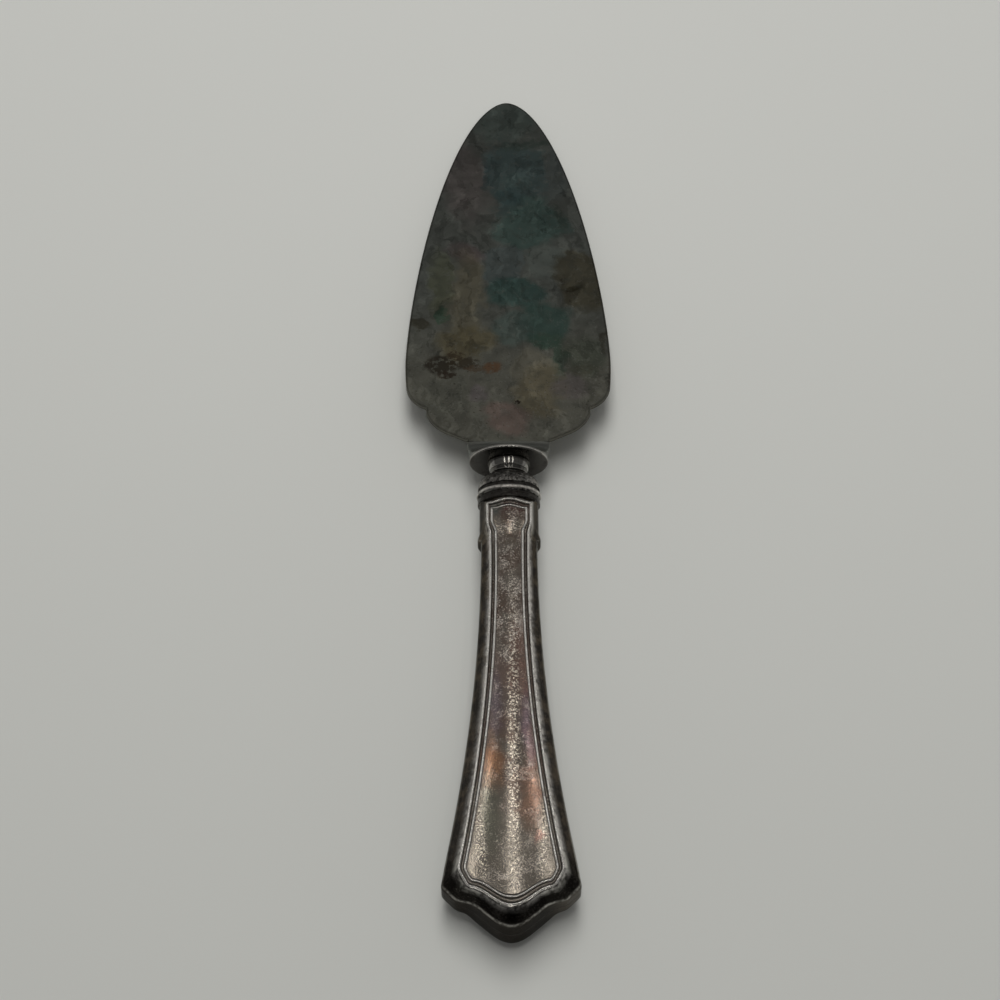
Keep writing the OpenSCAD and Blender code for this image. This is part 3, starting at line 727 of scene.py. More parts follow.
class ShapeTree:
    """A Geometry Nodes tree with named inputs, run once on a seed mesh and then turned into a plain mesh."""

    def __init__(self, name: str, **kinds: str) -> None:
        """Start a tree with a geometry input and output.

        Args:
            name: name of the tree.
            kinds: socket type of each further input by its name, with _ for a space.
        """
        self.tree = bpy.data.node_groups.new(name, "GeometryNodeTree")
        self.recipe = Recipe(self.tree)
        sockets = self.tree.interface
        for way in ("INPUT", "OUTPUT"):
            sockets.new_socket("Geometry", in_out=way, socket_type="NodeSocketGeometry")
        self.keys = {key: sockets.new_socket(key.replace("_", " "), in_out="INPUT", socket_type=kind).identifier
                     for key, kind in kinds.items()}
        entry = self.tree.nodes.new("NodeGroupInput")
        self.seed = Value(self.recipe, entry.outputs[0])
        self.given = {key: Value(self.recipe, entry.outputs[key.replace("_", " ")]) for key in kinds}

    def run(self, shape: Value, name: str, points: Sequence[Sequence[float]], edges: Sequence[Tuple[int, int]],
            material: bpy.types.Material, **values: Any) -> bpy.types.Object:
        """Run the tree on a wire mesh in mm and place the result in the part's frame.

        Args:
            shape: what the tree makes of its seed.
            name: name of the piece.
            points: vertices of the seed mesh in mm.
            edges: edges of the seed mesh.
            material: finish of the piece.
            values: the tree's inputs by name.

        Returns:
            The piece's object, with a plain mesh and no modifier.
        """
        smooth = self.recipe.node("GeometryNodeSetShadeSmooth", {}, {0: shape})
        real = self.recipe.node("GeometryNodeRealizeInstances", {}, {0: smooth})
        end = self.tree.nodes.new("NodeGroupOutput")
        self.tree.links.new(real.socket, end.inputs[0])
        seed = bpy.data.meshes.new(name + "_seed")
        seed.from_pydata([list(p) for p in points], list(edges), [])
        piece = show(name, seed)
        shaper = piece.modifiers.new("shape", "NODES")
        shaper.node_group = self.tree
        for key, value in values.items():
            shaper[self.keys[key]] = value
        graph = bpy.context.evaluated_depsgraph_get()
        mesh = bpy.data.meshes.new_from_object(piece.evaluated_get(graph))
        piece.modifiers.remove(shaper)
        piece.data = mesh
        bpy.data.meshes.remove(seed)
        flat = np.empty(len(mesh.vertices) * 3)
        mesh.vertices.foreach_get("co", flat)
        placed = REST.place(flat.reshape(-1, 3))
        mesh.vertices.foreach_set("co", placed.ravel())
        mesh.update()
        if volume(placed - placed.mean(axis=0), [list(p.vertices) for p in mesh.polygons]) < 0.0:
            mesh.flip_normals()
        mesh.materials.clear()
        mesh.materials.append(material)
        mesh.set_sharp_from_angle(angle=math.radians(SHARP_DEG))
        mesh.name = name
        return piece


def oval_lathe(name: str, section: Section, material: bpy.types.Material, around: int, along: int,
               flatness: float) -> bpy.types.Object:
    """Turn a half section about the handle's axis and flatten it to an oval.

    Args:
        name: name of the piece.
        section: open line of [radius, distance behind the flange].
        material: finish of the piece.
        around: number of points round the axis, the seam twice.
        along: number of points along the section.
        flatness: height of the oval over its width.

    Returns:
        The piece's object.
    """
    made = ShapeTree("oval_lathe", Around="NodeSocketInt", Along="NodeSocketInt", Flatness="NodeSocketFloat")
    r, got = made.recipe, made.given
    line = r.node("GeometryNodeMeshToCurve", {}, {"Mesh": made.seed})
    sheet = r.node("GeometryNodeMeshGrid", {}, {
        "Size X": 1.0, "Size Y": 1.0, "Vertices X": got["Around"], "Vertices Y": got["Along"]})
    spot = r.node("GeometryNodeInputPosition")
    drawn = r.node("GeometryNodeSampleCurve", {"mode": "FACTOR", "use_all_curves": True},
                   {"Curves": line, "Factor": r.axis(spot, "Y") + 0.5}, out="Position")
    radius = r.axis(drawn, "X")
    angle = (r.axis(spot, "X") + 0.5) * (2.0 * math.pi)
    turned = r.node("ShaderNodeCombineXYZ", {}, {
        0: radius * angle.cosine(), 1: r.axis(drawn, "Y") * -1.0, 2: radius * angle.sine() * got["Flatness"]})
    bent = r.node("GeometryNodeSetPosition", {}, {"Geometry": sheet, "Position": turned})
    closed = r.node("GeometryNodeMergeByDistance", {}, {"Geometry": bent, "Distance": 0.0005})
    wire = [(reach, back, 0.0) for reach, back in section]
    edges = [(i, i + 1) for i in range(len(wire) - 1)]
    return made.run(closed, name, wire, edges, material, Around=around, Along=along, Flatness=flatness)


def thread_sweep(name: str, rings: Sequence[np.ndarray], material: bpy.types.Material,
                 wire_r: float) -> bpy.types.Object:
    """Sweep a round wire along closed paths, for the raised threads of a panel.

    Args:
        name: name of the piece.
        rings: points of each closed path in mm.
        material: finish of the threads.
        wire_r: radius of the wire in mm.

    Returns:
        The piece's object.
    """
    made = ShapeTree("thread_sweep", Wire_Radius="NodeSocketFloat", Sides="NodeSocketInt")
    r, got = made.recipe, made.given
    path = r.node("GeometryNodeMeshToCurve", {}, {"Mesh": made.seed})
    wire = r.node("GeometryNodeCurvePrimitiveCircle", {"mode": "RADIUS"},
                  {"Resolution": got["Sides"], "Radius": got["Wire_Radius"]})
    swept = r.node("GeometryNodeCurveToMesh", {}, {"Curve": path, "Profile Curve": wire})
    points: List[Sequence[float]] = []
    edges: List[Tuple[int, int]] = []
    for ring in rings:
        start, count = len(points), len(ring)
        points.extend(ring.tolist())
        edges.extend((start + i, start + (i + 1) % count) for i in range(count))
    return made.run(swept, name, points, edges, material, Wire_Radius=wire_r, Sides=14)


@dataclass
class Blade:
    """Pointed serving blade, a flat sheet with shoulders and two lobes at the heel (mm)."""

    length: float = 126.5
    width: float = 52.0
    widest: float = 27.5
    thick: float = 1.3
    tip_power: float = 0.54
    edge_power: float = 1.5
    edge_in: float = 0.35
    shoulder_r: float = 8.5
    shoulder_turn: float = 64.0
    notch_r: float = 0.8
    notch_l: float = 1.4
    lobe_r: float = 10.4
    lobe_rise: float = 2.4
    lobe_start: float = 17.0
    heel_w: float = 20.4
    heel_rise: float = 0.9
    heel_steps: Point = (-0.3, 0.1, 0.5)
    bevel: float = 0.35
    land: float = 0.3
    edge_shade_fade: float = 0.6
    sharp_deg: float = 60.0
    fold_deg: float = 6.5
    seat_y: float = 5.8

    @staticmethod
    def _arc(centre: np.ndarray, radius: float, first: float, last: float, count: int) -> List[np.ndarray]:
        """Points of an arc in degrees, both ends included."""
        return [centre + radius * np.array([math.cos(a), math.sin(a)]) for a in arc(first, last, count)]

    def right_edge(self) -> np.ndarray:
        """Draw the right half of the outline.

        Returns:
            Points from the heel to just before the tip.
        """
        side = math.degrees(math.atan(2 * self.edge_in / (self.widest - self.lobe_r - self.lobe_rise)))
        turn, start = math.radians(self.shoulder_turn), math.radians(self.lobe_start)
        sh_x = self.width / 2 - self.edge_in - self.shoulder_r * math.cos(math.radians(side))
        notch_x = sh_x + (self.shoulder_r + self.notch_r) * math.cos(turn) - self.notch_r
        lobe = np.array([notch_x - self.lobe_r * math.cos(start), self.lobe_r + self.lobe_rise])
        notch_y = lobe[1] - self.lobe_r * math.sin(start) + self.notch_l
        shoulder = np.array([sh_x, notch_y + (self.shoulder_r + self.notch_r) * math.sin(turn)])
        heel = np.array([self.heel_w / 2, self.heel_rise])
        away = heel - lobe
        lobe_end = math.degrees(math.atan2(away[1], away[0]) + math.acos(self.lobe_r / np.linalg.norm(away)))
        side_y = shoulder[1] - self.shoulder_r * math.sin(math.radians(side))
        reach = self.length - self.widest
        points = [np.array([self.heel_w / 2, y]) for y in self.heel_steps]
        points += [mix(heel, self._arc(lobe, self.lobe_r, lobe_end, lobe_end, 1)[0], v)
                   for v in np.linspace(0.0, 0.96, 8)]
        points += self._arc(lobe, self.lobe_r, lobe_end, -self.lobe_start, 40)
        points += self._arc(np.array([notch_x + self.notch_r, notch_y]), self.notch_r, 180.0,
                            180.0 - self.shoulder_turn, 14)
        points += self._arc(shoulder, self.shoulder_r, -self.shoulder_turn, -side, 36)[1:]
        points += [np.array([self.width / 2 - self.edge_in * (1 - v) ** 2, mix(side_y, self.widest, v)])
                   for v in np.linspace(0.0, 1.0, 16)[1:]]
        for v in np.linspace(1.0, 0.0, 141)[1:-1]:
            s = reach * v * v
            x = self.width / 2 * (1 - (1 - s / reach) ** self.edge_power) ** self.tip_power
            points.append(np.array([x, self.length - s]))
        return np.array(points)

    def outline(self) -> np.ndarray:
        """Whole outline, anticlockwise from the right of the heel."""
        right = self.right_edge()
        left = right[::-1] * np.array([-1.0, 1.0])
        return np.vstack([right, [[0.0, self.length]], left])

    @staticmethod
    def _inward(line: np.ndarray) -> np.ndarray:
        """Unit normals that point into a closed anticlockwise outline."""
        step = np.roll(line, -1, axis=0) - np.roll(line, 1, axis=0)
        step /= np.linalg.norm(step, axis=1, keepdims=True)
        return np.stack([-step[:, 1], step[:, 0]], axis=1)

    def build(self, material: bpy.types.Material) -> bpy.types.Object:
        """Build the sheet with its rounded bevels and the rim mask of painted shade along them.

        Args:
            material: finish of the blade.

        Returns:
            The piece's object.
        """
        line = self.outline()
        inward, count = self._inward(line), len(line)
        top = [(self.bevel * (1 - math.cos(a)), self.thick / 2 - self.bevel * (1 - math.sin(a)))
               for a in arc(0.0, 90.0, 6)]
        top.append((self.bevel + self.land, self.thick / 2))
        profile = [(i, -z) for i, z in reversed(top)] + top
        rings = [np.column_stack([line + inward * inset, np.full(count, z)]) for inset, z in profile]
        points = turn_x(np.vstack(rings), -self.fold_deg) + (0.0, self.seat_y, 0.0)
        # rim mask: painted shade on the bevel, weaker towards the top face
        rim = [0.0 if i > self.bevel else 1.0 - self.edge_shade_fade * max(0.0, z) / self.thick for i, z in profile]
        return make_piece("blade_sheet", REST.place(points), bands(len(rings), count, True), material,
                          self.sharp_deg, {"rim": np.repeat(rim, count)})

    def dress(self) -> None:
        """Build the blade in its finish and put it in the frame."""
        settle(self.build(BladeFinish().material()), Slot.BLADE, "blade")


@dataclass
class Bolster:
    """Bolster that holds the blade: swept head, oval flange, bead and coved neck (mm)."""

    length: float = 5.8
    heel_w: float = 20.4
    blade_t: float = 1.3
    lip: float = 0.35
    flange_w: float = 19.3
    flange_h: float = 14.46
    flange_t: float = 0.8
    flange_edge: float = 0.4
    flange_land: float = 0.55
    fold_deg: float = 6.5
    squareness: float = 6.0
    oval: float = 2.0
    sweep_power: float = 2.6
    bead_w: float = 10.6
    bead_l: float = 2.3
    bead_round: float = 0.4
    bead_fall: float = 16.0
    neck_w: float = 8.4
    neck_l: float = 1.9
    sink: float = 0.3
    around: int = 144

    def _oval(self, a: float, b: float, power: float, tilt_deg: float, y: float) -> np.ndarray:
        """One rounded section of the head."""
        t = 2 * np.pi * (np.arange(self.around) + 0.5) / self.around
        c, s = np.cos(t), np.sin(t)
        x = a * np.sign(c) * np.abs(c) ** (2 / power)
        z = b * np.sign(s) * np.abs(s) ** (2 / power)
        tilt = math.radians(tilt_deg)
        return np.stack([x, y + z * math.sin(tilt), z * math.cos(tilt)], axis=1)

    def build_head(self, material: bpy.types.Material) -> bpy.types.Object:
        """Build the swept head and its flange.

        Args:
            material: finish of the bolster.

        Returns:
            The piece's object.
        """
        sweep = self.length - self.flange_t
        lip_h = self.blade_t / 2 + self.lip
        wide, high = self.flange_w / 2, self.flange_h / 2
        round_r = self.flange_t * self.flange_edge
        rings = [self._oval(self.heel_w / 2 * share, lip_h * share, self.squareness,
                           self.fold_deg, self.length)
                 for share in (0.4, 0.75, 0.95)]
        for v in np.linspace(0.0, 1.0, 26):
            rings.append(self._oval(
                mix(self.heel_w, self.flange_w, ease(v)) / 2, mix(lip_h, high, v ** self.sweep_power),
                mix(self.squareness, self.oval, v), self.fold_deg * (1 - v) ** 2, self.length - sweep * v))
        rings.append(self._oval(wide, high, self.oval, 0.0, self.flange_t * self.flange_land))
        for a in arc(0.0, 90.0, 8):
            inset = round_r * (1 - math.cos(a))
            rings.append(self._oval(wide - inset, high - inset, self.oval, 0.0, round_r * (1 - math.sin(a))))
        for share in (0.93, 0.85, 0.75, 0.6, 0.4, 0.2):
            rings.append(self._oval(wide * share, high * share, self.oval, 0.0, 0.0))
        return make_piece("bolster_head", REST.place(np.vstack(rings)), bands(len(rings), self.around, True),
                          material)

    def neck_section(self) -> Section:
        """Half section of the bead and the coved neck as [radius, distance behind the flange]."""
        line: Section = [(0.0, -self.sink), (self.bead_w / 2 - self.bead_l / 2, -self.sink)]
        for d in np.linspace(0.0, self.bead_l, 60):
            near = min(d, self.bead_l - d) / self.bead_round
            shoulder = self.bead_round * (1 - math.sqrt(max(0.0, 1 - (1 - min(near, 1.0)) ** 2)))
            fall = math.tan(math.radians(self.bead_fall)) * d * (0.7 + 0.3 * d / self.bead_l)
            line.append((self.bead_w / 2 - shoulder - fall, d))
        end = self.bead_l + self.neck_l
        lip_r = self.neck_w / 2 + self.neck_l / 5
        middle = self.bead_l + self.neck_l / 2
        for a in np.linspace(math.pi / 2, -math.pi / 2, 40):
            r = self.neck_w / 2 + self.neck_l / 2 * (1 - math.cos(a))
            line.append((min(r, lip_r), middle - self.neck_l / 2 * math.sin(a)))
        return line + [(lip_r, end), (lip_r, end + self.sink), (0.0, end + self.sink)]

    def dress(self) -> None:
        """Build the bolster's head and neck in their finishes and put them in the frame."""
        # Head: its dark belt lays painted shade over the flange's rear face, for the dark reflection there, and
        # its bright belt is rubbed wear with a painted highlight on the flange's rim. Neck: its dark belt over
        # the cove is tarnish with painted shade.
        head = PlateFinish("bolster_dark_plate", (0.24, 0.235, 0.22), (0.09, 0.08, 0.072), 0.0, 0.10,
                           0.48, 0.74, ((-0.08, 0.3),), ((-0.42, -0.3),), 0.8, (0.165, 0.172, 0.157))
        neck = PlateFinish("neck_bright_plate", (0.38, 0.37, 0.35), (0.22, 0.21, 0.195), 0.0, 0.03,
                           0.50, 0.80, ((self.bead_l - 0.1, self.bead_l + self.neck_l + 1.0),), (), 0.6)
        settle(self.build_head(head.material()), Slot.BOLSTER, "bolster")
        turned = oval_lathe("bolster_neck", self.neck_section(), neck.material(), 129, 150,
                            self.flange_h / self.flange_w)
        settle(turned, Slot.BOLSTER)


@dataclass
class Ferrule:
    """Turned ferrule between neck and handle: dome, groove, bead ring, gutter and skirt (mm)."""

    ring_w: float = 15.7
    ring_h: float = 10.6
    ring_l: float = 1.6
    dome_l: float = 4.0
    land_w: float = 9.4
    dome_w: float = 15.0
    groove_l: float = 0.9
    groove_d: float = 0.35
    gutter_l: float = 0.45
    skirt_w: float = 15.1
    skirt_l: float = 1.6
    skirt_r: float = 0.2
    start: float = 4.2

    def __post_init__(self) -> None:
        """Work out where each stretch starts, as distances behind the flange."""
        self.dome_end = self.start + self.dome_l
        self.ring_at = self.dome_end + self.groove_l
        self.gutter = self.ring_at + self.ring_l
        self.skirt = self.gutter + self.gutter_l
        self.end = self.skirt + self.skirt_l

    def section(self) -> Section:
        """Half section as [radius, distance behind the flange], closed on the axis at both ends."""
        deep, low = self.dome_w / 2 - self.groove_d, self.skirt_w / 2 - self.groove_d
        half, edge = self.ring_l / 2, self.skirt_r
        line: Section = [(0.0, self.start)]
        line += [(mix(self.land_w, self.dome_w, math.sin(a)) / 2, self.start + self.dome_l * (1 - math.cos(a)))
                 for a in arc(0.0, 90.0, 40)]
        line += [(deep + 0.05, self.dome_end + 0.02), (deep, self.dome_end + 0.12), (deep, self.ring_at)]
        line += [(self.ring_w / 2 - half * (1 - math.sin(a)), self.ring_at + half * (1 - math.cos(a)))
                 for a in arc(0.0, 180.0, 40)]
        line += [(low, self.gutter + 0.05), (low, self.skirt)]
        line += [(self.skirt_w / 2 - edge * (1 - math.sin(a)), self.skirt + edge * (1 - math.cos(a)))
                 for a in arc(0.0, 90.0, 8)]
        line += [(self.skirt_w / 2 - edge * (1 - math.cos(a)), self.end - edge * (1 - math.sin(a)))
                 for a in arc(0.0, 90.0, 8)]
        return line + [(0.0, self.end)]

    def dress(self) -> None:
        """Build the ferrule in its finish and put it in the frame."""
        # dark belts over the groove, the gutter and the skirt: tarnish with painted shade; the bright belt on
        # the ring is rubbed wear with a painted highlight
        tarnish_and_shade = ((self.dome_end, self.ring_at + 0.1), (self.gutter, self.end))
        finish = PlateFinish("ferrule_pitted_plate", (0.27, 0.262, 0.245), (0.07, 0.066, 0.06), 0.9, 0.29,
                             0.42, 0.68, tarnish_and_shade, ((self.ring_at + 0.35, self.ring_at + 1.1),), 0.88)
        turned = oval_lathe("ferrule_turned", self.section(), finish.material(), 161, 260,
                            self.ring_h / self.ring_w)
        settle(turned, Slot.FERRULE, "ferrule")


@dataclass
class Handle:
    """Hollow handle of two stamped shells, with panels, double threads and a bracket-shaped butt (mm)."""

    collar: float = 12.75
    length: float = 111.0
    capital_w: float = 14.2
    capital_h: float = 10.4
    capital_side_h: float = 2.4
    capital_l: float = 7.2
    foot_l: float = 3.7
    foot_flare: float = 0.75
    foot_lag: float = 0.9
    waist_w: float = 13.4
    waist_h: float = 10.0
    waist_side_h: float = 6.4
    waist_bevel: float = 2.0
    butt_w: float = 31.0
    butt_h: float = 14.6
    butt_side_h: float = 9.4
    butt_bevel: float = 3.4
    butt_ease: float = 0.08
    flare_power: float = 2.05
    corner_in: float = 3.3
    corner_l: float = 3.3
    corner_dip: float = 0.42
    dip_reach: float = 0.3
    bow: float = 6.9
    edge_round: float = 0.22
    wall: float = 0.8
    capital_panel_w: float = 10.6
    crown_d: float = 0.8
    crown_rise: float = 1.2
    panel_corner_in: float = 2.2
    panel_corner_l: float = 4.4
    panel_bow: float = 4.6
    panel_back: float = 3.6
    thread_gap: float = 1.5
    thread_gap_top: float = 2.0
    thread_gap_capital: float = 1.15
    thread_gap_end: float = 2.2
    thread_h: float = 0.12
    rim_u: float = -0.18
    field_u: float = 1.28
    field_sink: float = 0.2
    field_draw: float = 0.06
    crown_top: float = 0.3
    crown_end: float = 0.6
    wire_r: float = 0.30

    def __post_init__(self) -> None:
        """Work out the stations along the axis, as distances behind the flange."""
        self.t_foot = self.collar + self.capital_l
        self.t_waist = self.t_foot + self.foot_l
        self.t_ear = self.t_foot + self.foot_lag
        self.t_flare = self.t_waist + self.foot_lag
        self.t_end = self.collar + self.length
        self.t_corner2 = self.t_end - self.bow
        self.t_corner1 = self.t_corner2 - self.corner_l
        self.p_shoulder = self.collar + self.crown_d + self.crown_rise
        self.p_end = self.t_end - self.panel_back
        self.p_corner2 = self.p_end - self.panel_bow
        self.p_corner1 = self.p_corner2 - self.panel_corner_l
        self.p_capital = float(self.half_panel(np.array(self.collar)))
        self.p_wide = float(self.half_panel(np.array(self.p_corner1)))
        self.t_mid = (self.p_shoulder + self.p_corner2) / 2
        self.k, self.v = self._stations()

    @staticmethod
    def _stations() -> Tuple[np.ndarray, np.ndarray]:
        """Stretch number and place in the stretch for each station of the half loop."""
        counts, stem, crowding = (29, 13, 37, 97, 13, 49), 3, 1.5
        spans = [np.linspace(0.0, 1.0, n)[min(i, 1):] for i, n in enumerate(counts)]
        spans[stem] = 1.0 - (1.0 - spans[stem]) ** crowding
        k = np.concatenate([np.full(len(s), i) for i, s in enumerate(spans)])
        return k, np.concatenate(spans)

    def along_flare(self, t: np.ndarray) -> np.ndarray:
        """Share of the flare that lies before t."""
        return clamp01((t - self.t_flare) / (self.t_corner1 - self.t_flare))

    def flare(self, t: np.ndarray) -> np.ndarray:
        """Half width of the flaring stem."""
        return mix(self.waist_w, self.butt_w, self.along_flare(t) ** self.flare_power) / 2

    def half_panel(self, t: np.ndarray) -> np.ndarray:
        """Half width of the panel over its outer thread."""
        u = np.minimum(t, self.p_corner1)
        low = mix(self.capital_panel_w, self.waist_w - 2 * self.waist_bevel,
                  ease(clamp01((t - self.t_foot) / self.foot_l))) / 2
        high = self.flare(u) - mix(self.waist_bevel, self.butt_bevel, self.along_flare(u))
        return np.where(t < self.t_waist, low, high)

    def edge_h(self, t: np.ndarray) -> np.ndarray:
        """Height of the panel's edge above the seam."""
        low = mix(self.capital_h, self.waist_h, clamp01((t - self.t_foot) / self.foot_l)) / 2
        rise = np.maximum((t - self.t_waist) / (self.p_corner1 - self.t_waist), 0.0)
        eased = (rise + 1.0 - np.sqrt((rise - 1.0) ** 2 + self.butt_ease ** 2)) / 2
        high = mix(self.waist_h, self.butt_h, np.where(rise < 0.6, rise, np.minimum(eased, rise))) / 2
        return np.where(t < self.t_waist, low, high)

    def face_h(self, x: np.ndarray, t: np.ndarray) -> np.ndarray:
        """Height of the panel's convex face above the seam."""
        along = clamp01((t - self.t_foot) / (self.p_corner1 - self.t_foot))
        crown = mix(self.crown_top, self.crown_end, along)
        return self.edge_h(t) + crown * np.maximum(0.0, 1.0 - (x / self.half_panel(t)) ** 2)

    def side_top(self, t: np.ndarray) -> np.ndarray:
        """Height of the upright sides above the seam: low up to the foot, lower again at the butt's corners."""
        rise = clamp01((t - self.t_ear) / (self.t_flare - self.t_ear)) ** 4
        near = np.where(t < self.t_corner1, (self.t_corner1 - t) / self.corner_l / 2,
                        (t - self.t_corner2) / self.bow / self.dip_reach)
        dip = self.corner_dip * ease(clamp01(1.0 - near))
        low = mix(self.capital_side_h, self.waist_side_h, rise) / 2
        high = mix(self.waist_side_h, self.butt_side_h, self.along_flare(t)) / 2 * (1.0 - dip)
        return np.where(t < self.t_flare, low, high)

    def _pick(self, rows: Sequence[Tuple[np.ndarray, ...]]) -> np.ndarray:
        """Take each station's point from the formula of its own stretch."""
        stacked = np.stack([np.stack(row, axis=1) for row in rows])
        return stacked[self.k, np.arange(len(self.k))]

    def seam(self, g: float) -> np.ndarray:
        """Outline of a shell where the halves meet.

        Args:
            g: how far it is drawn in.

        Returns:
            [x, distance behind the flange, height] for each station of the half loop.
        """
        v, peak, fall = self.v, 0.7, np.radians(300.0)
        zero = np.zeros_like(v)
        quarter = np.pi / 2 * v
        bump = self.foot_flare * np.where(v < peak, np.sin(quarter / peak) ** 2,
                                          np.cos(fall * (v - peak)) ** 2)
        t3 = mix(self.t_flare, self.t_corner1, v)
        half = self.butt_w / 2
        return self._pick([
            ((self.capital_w / 2 - g) * np.sin(quarter), zero + self.collar,
             (self.capital_h / 2 - self.wall / 4 - g) * np.cos(quarter)),
            (zero + self.capital_w / 2 - g, mix(self.collar, self.t_ear, v), zero),
            (mix(self.capital_w, self.waist_w, ease(v)) / 2 + bump - g,
             mix(self.t_ear, self.t_flare, v), zero),
            (self.flare(t3) - g, t3, zero),
            (half - self.corner_in * v - g, mix(self.t_corner1, self.t_corner2, v) - g * v / 2, zero),
            ((half - self.corner_in - g) * (1 - v),
             self.t_corner2 + self.bow * ease(v) - g * (1 + v) / 2, zero)])

    def outer_thread(self) -> np.ndarray:
        """Outer thread in plan as [x, distance behind the flange]."""
        v = self.v
        swing = np.sin(np.pi / 2 * v)
        t2, t3 = mix(self.t_foot, self.t_waist, v), mix(self.t_waist, self.p_corner1, v)
        return self._pick([
            (self.p_capital * swing, self.collar + self.crown_d + self.crown_rise * ease(swing)),
            (np.full_like(v, self.p_capital), mix(self.p_shoulder, self.t_foot, v)),
            (self.half_panel(t2), t2),
            (self.half_panel(t3), t3),
            (self.p_wide - self.panel_corner_in * v, mix(self.p_corner1, self.p_corner2, v)),
            ((self.p_wide - self.panel_corner_in) * (1 - v), self.p_corner2 + self.panel_bow * ease(v))])

    def inner_thread(self) -> np.ndarray:
        """Inner thread in plan as [x, distance behind the flange]."""
        v, gap, top, capital = self.v, self.thread_gap, self.thread_gap_top, self.thread_gap_capital
        x, y = self.outer_thread().T
        return self._pick([
            (x * (1 - capital / self.p_capital), y + top - (top - gap) * ease(v)),
            (x - capital, mix(self.p_shoulder + gap, self.t_foot, v)),
            (x - mix(capital, gap, v), y - gap / 2 * v),
            (x - gap, y - gap / 2 * (1 - v)),
            (x - mix(gap, gap / 2, v), y - gap * v),
            (x * (1 - gap / 2 / (self.p_wide - self.panel_corner_in)),
             y - mix(gap, self.thread_gap_end, v))])

    def border(self, u: float, rise: float) -> np.ndarray:
        """One ring on the panel's border, from the outer thread (u 0) to the inner one (u 1)."""
        flat = mix(self.outer_thread(), self.inner_thread(), u)
        return np.column_stack([flat, self.face_h(flat[:, 0], flat[:, 1]) + rise])

    def drawn_in(self, ring: np.ndarray, q: float, sink: float) -> np.ndarray:
        """A ring drawn in by q towards the panel's middle line, and sunk below its face."""
        x = ring[:, 0] * (1 - q)
        t = self.t_mid + (ring[:, 1] - self.t_mid) * (1 - self.field_draw * q)
        return np.column_stack([x, t, self.face_h(x, t) - sink])

    def side(self, s: float) -> np.ndarray:
        """One ring of the edge between the upright side (s 0) and the bevel (s 1)."""
        a, b = self.seam(0.0), self.border(self.rim_u, -self.thread_h)
        share = self.side_top(a[:, 1]) / b[:, 2]
        f = share - share * self.edge_round * (1 - s) ** 2 + (1 - share) * self.edge_round * s * s
        q = self.edge_round * s * s
        m = np.where(self.k == 0, mix(f, q, self.v), q)
        return mix(a, b, np.column_stack([m, m, f]))

    def rim_in(self, g: float) -> np.ndarray:
        """Inner face of the shell below the panel's border."""
        p = self.border(self.rim_u, -g)
        k, v = self.k, self.v
        lean = np.where(k == 0, np.sin(np.pi / 2 * v), np.where(k == 5, np.sin(np.pi / 2 * (1 - v)), 1.0))
        step = np.where(k == 0, 1.0, np.where(k == 4, -v, np.where(k == 5, -1.0, 0.0)))
        return np.column_stack([p[:, 0] - g * lean / 2, p[:, 1] + g * step / 2, p[:, 2] - self.field_sink])

    def side_in(self, g: float) -> np.ndarray:
        """Inner face of the shell at the top of its upright sides."""
        a, b = self.seam(g), self.rim_in(g)
        f = (self.side_top(a[:, 1]) - g / 2) / b[:, 2]
        m = np.where(self.k == 0, mix(f, 0.0, self.v), 0.0)
        return mix(a, b, np.column_stack([m, m, f]))

    def soften(self, half: np.ndarray) -> np.ndarray:
        """Round the butt's corners in a half ring.

        Args:
            half: points of the half loop.

        Returns:
            The half loop with eased corners.
        """
        passes, stem, last_part = 10, 3, 0.6
        loose = (self.k > stem) | ((self.k == stem) & (self.v > last_part))
        weight = np.where(loose, 0.5, 0.0)[:, None]
        out = half.copy()
        for _ in range(passes):
            before = np.vstack([out[:1], out[:-1]])
            after = np.vstack([out[1:], out[-2:-1] * MIRROR])
            out = out + weight * ((before + after) / 2 - out)
        out[-1, 0] = 0.0
        return out

    @staticmethod
    def whole(half: np.ndarray, which: Half) -> np.ndarray:
        """Mirror a half loop to a whole ring of one shell and turn it to [x, y, z]."""
        ring = np.vstack([half, half[-2:0:-1] * MIRROR])
        return np.column_stack([ring[:, 0], -ring[:, 1], which.value * ring[:, 2]])

    def shell_rings(self) -> List[Tuple[np.ndarray, float, float, float, float]]:
        """Rings of one shell from the middle of the field over the side and round the hollow.

        Returns:
            For each ring its half loop and its groove, edge, side and wall masks.
        """
        sunk = self.border(self.field_u, 0.0)
        rows = [(self.drawn_in(sunk, q, self.field_sink), 0.0, 0.0, 0.0, 0.0)
                for q in (0.93, 0.82, 0.68, 0.54, 0.40, 0.26, 0.14, 0.06)]
        profile = ((1.30, -0.200, 0.15, 0.0), (1.22, -0.195, 0.75, 0.0), (1.12, -0.14, 0.8, 0.0),
                   (1.00, -0.10, 0.2, 0.3), (0.90, -0.13, 0.6, 0.0), (0.82, -0.21, 1.0, 0.0),
                   (0.75, -0.26, 1.0, 0.0), (0.66, -0.245, 0.55, 0.0), (0.56, -0.225, 0.25, 0.1),
                   (0.47, -0.245, 0.55, 0.0), (0.40, -0.26, 1.0, 0.0), (0.33, -0.20, 1.0, 0.0),
                   (0.27, -0.12, 0.7, 0.0), (0.18, -0.05, 0.1, 0.5), (0.04, -0.04, 0.0, 0.8),
                   (-0.08, -0.06, 0.0, 0.8), (self.rim_u, -self.thread_h, 0.0, 0.7))
        for u, rise, groove, edge in profile:
            rows.append((self.border(u, rise), groove, edge, max(0.0, min(1.0, (0.1 - u) / 0.25)), 0.0))
        rim, brow, top, foot = rows[-1][0], self.side(1.0), self.side(0.0), self.seam(0.0)
        for v, edge in ((0.1, 0.6), (0.25, 0.25), (0.5, 0.0), (0.75, 0.0)):
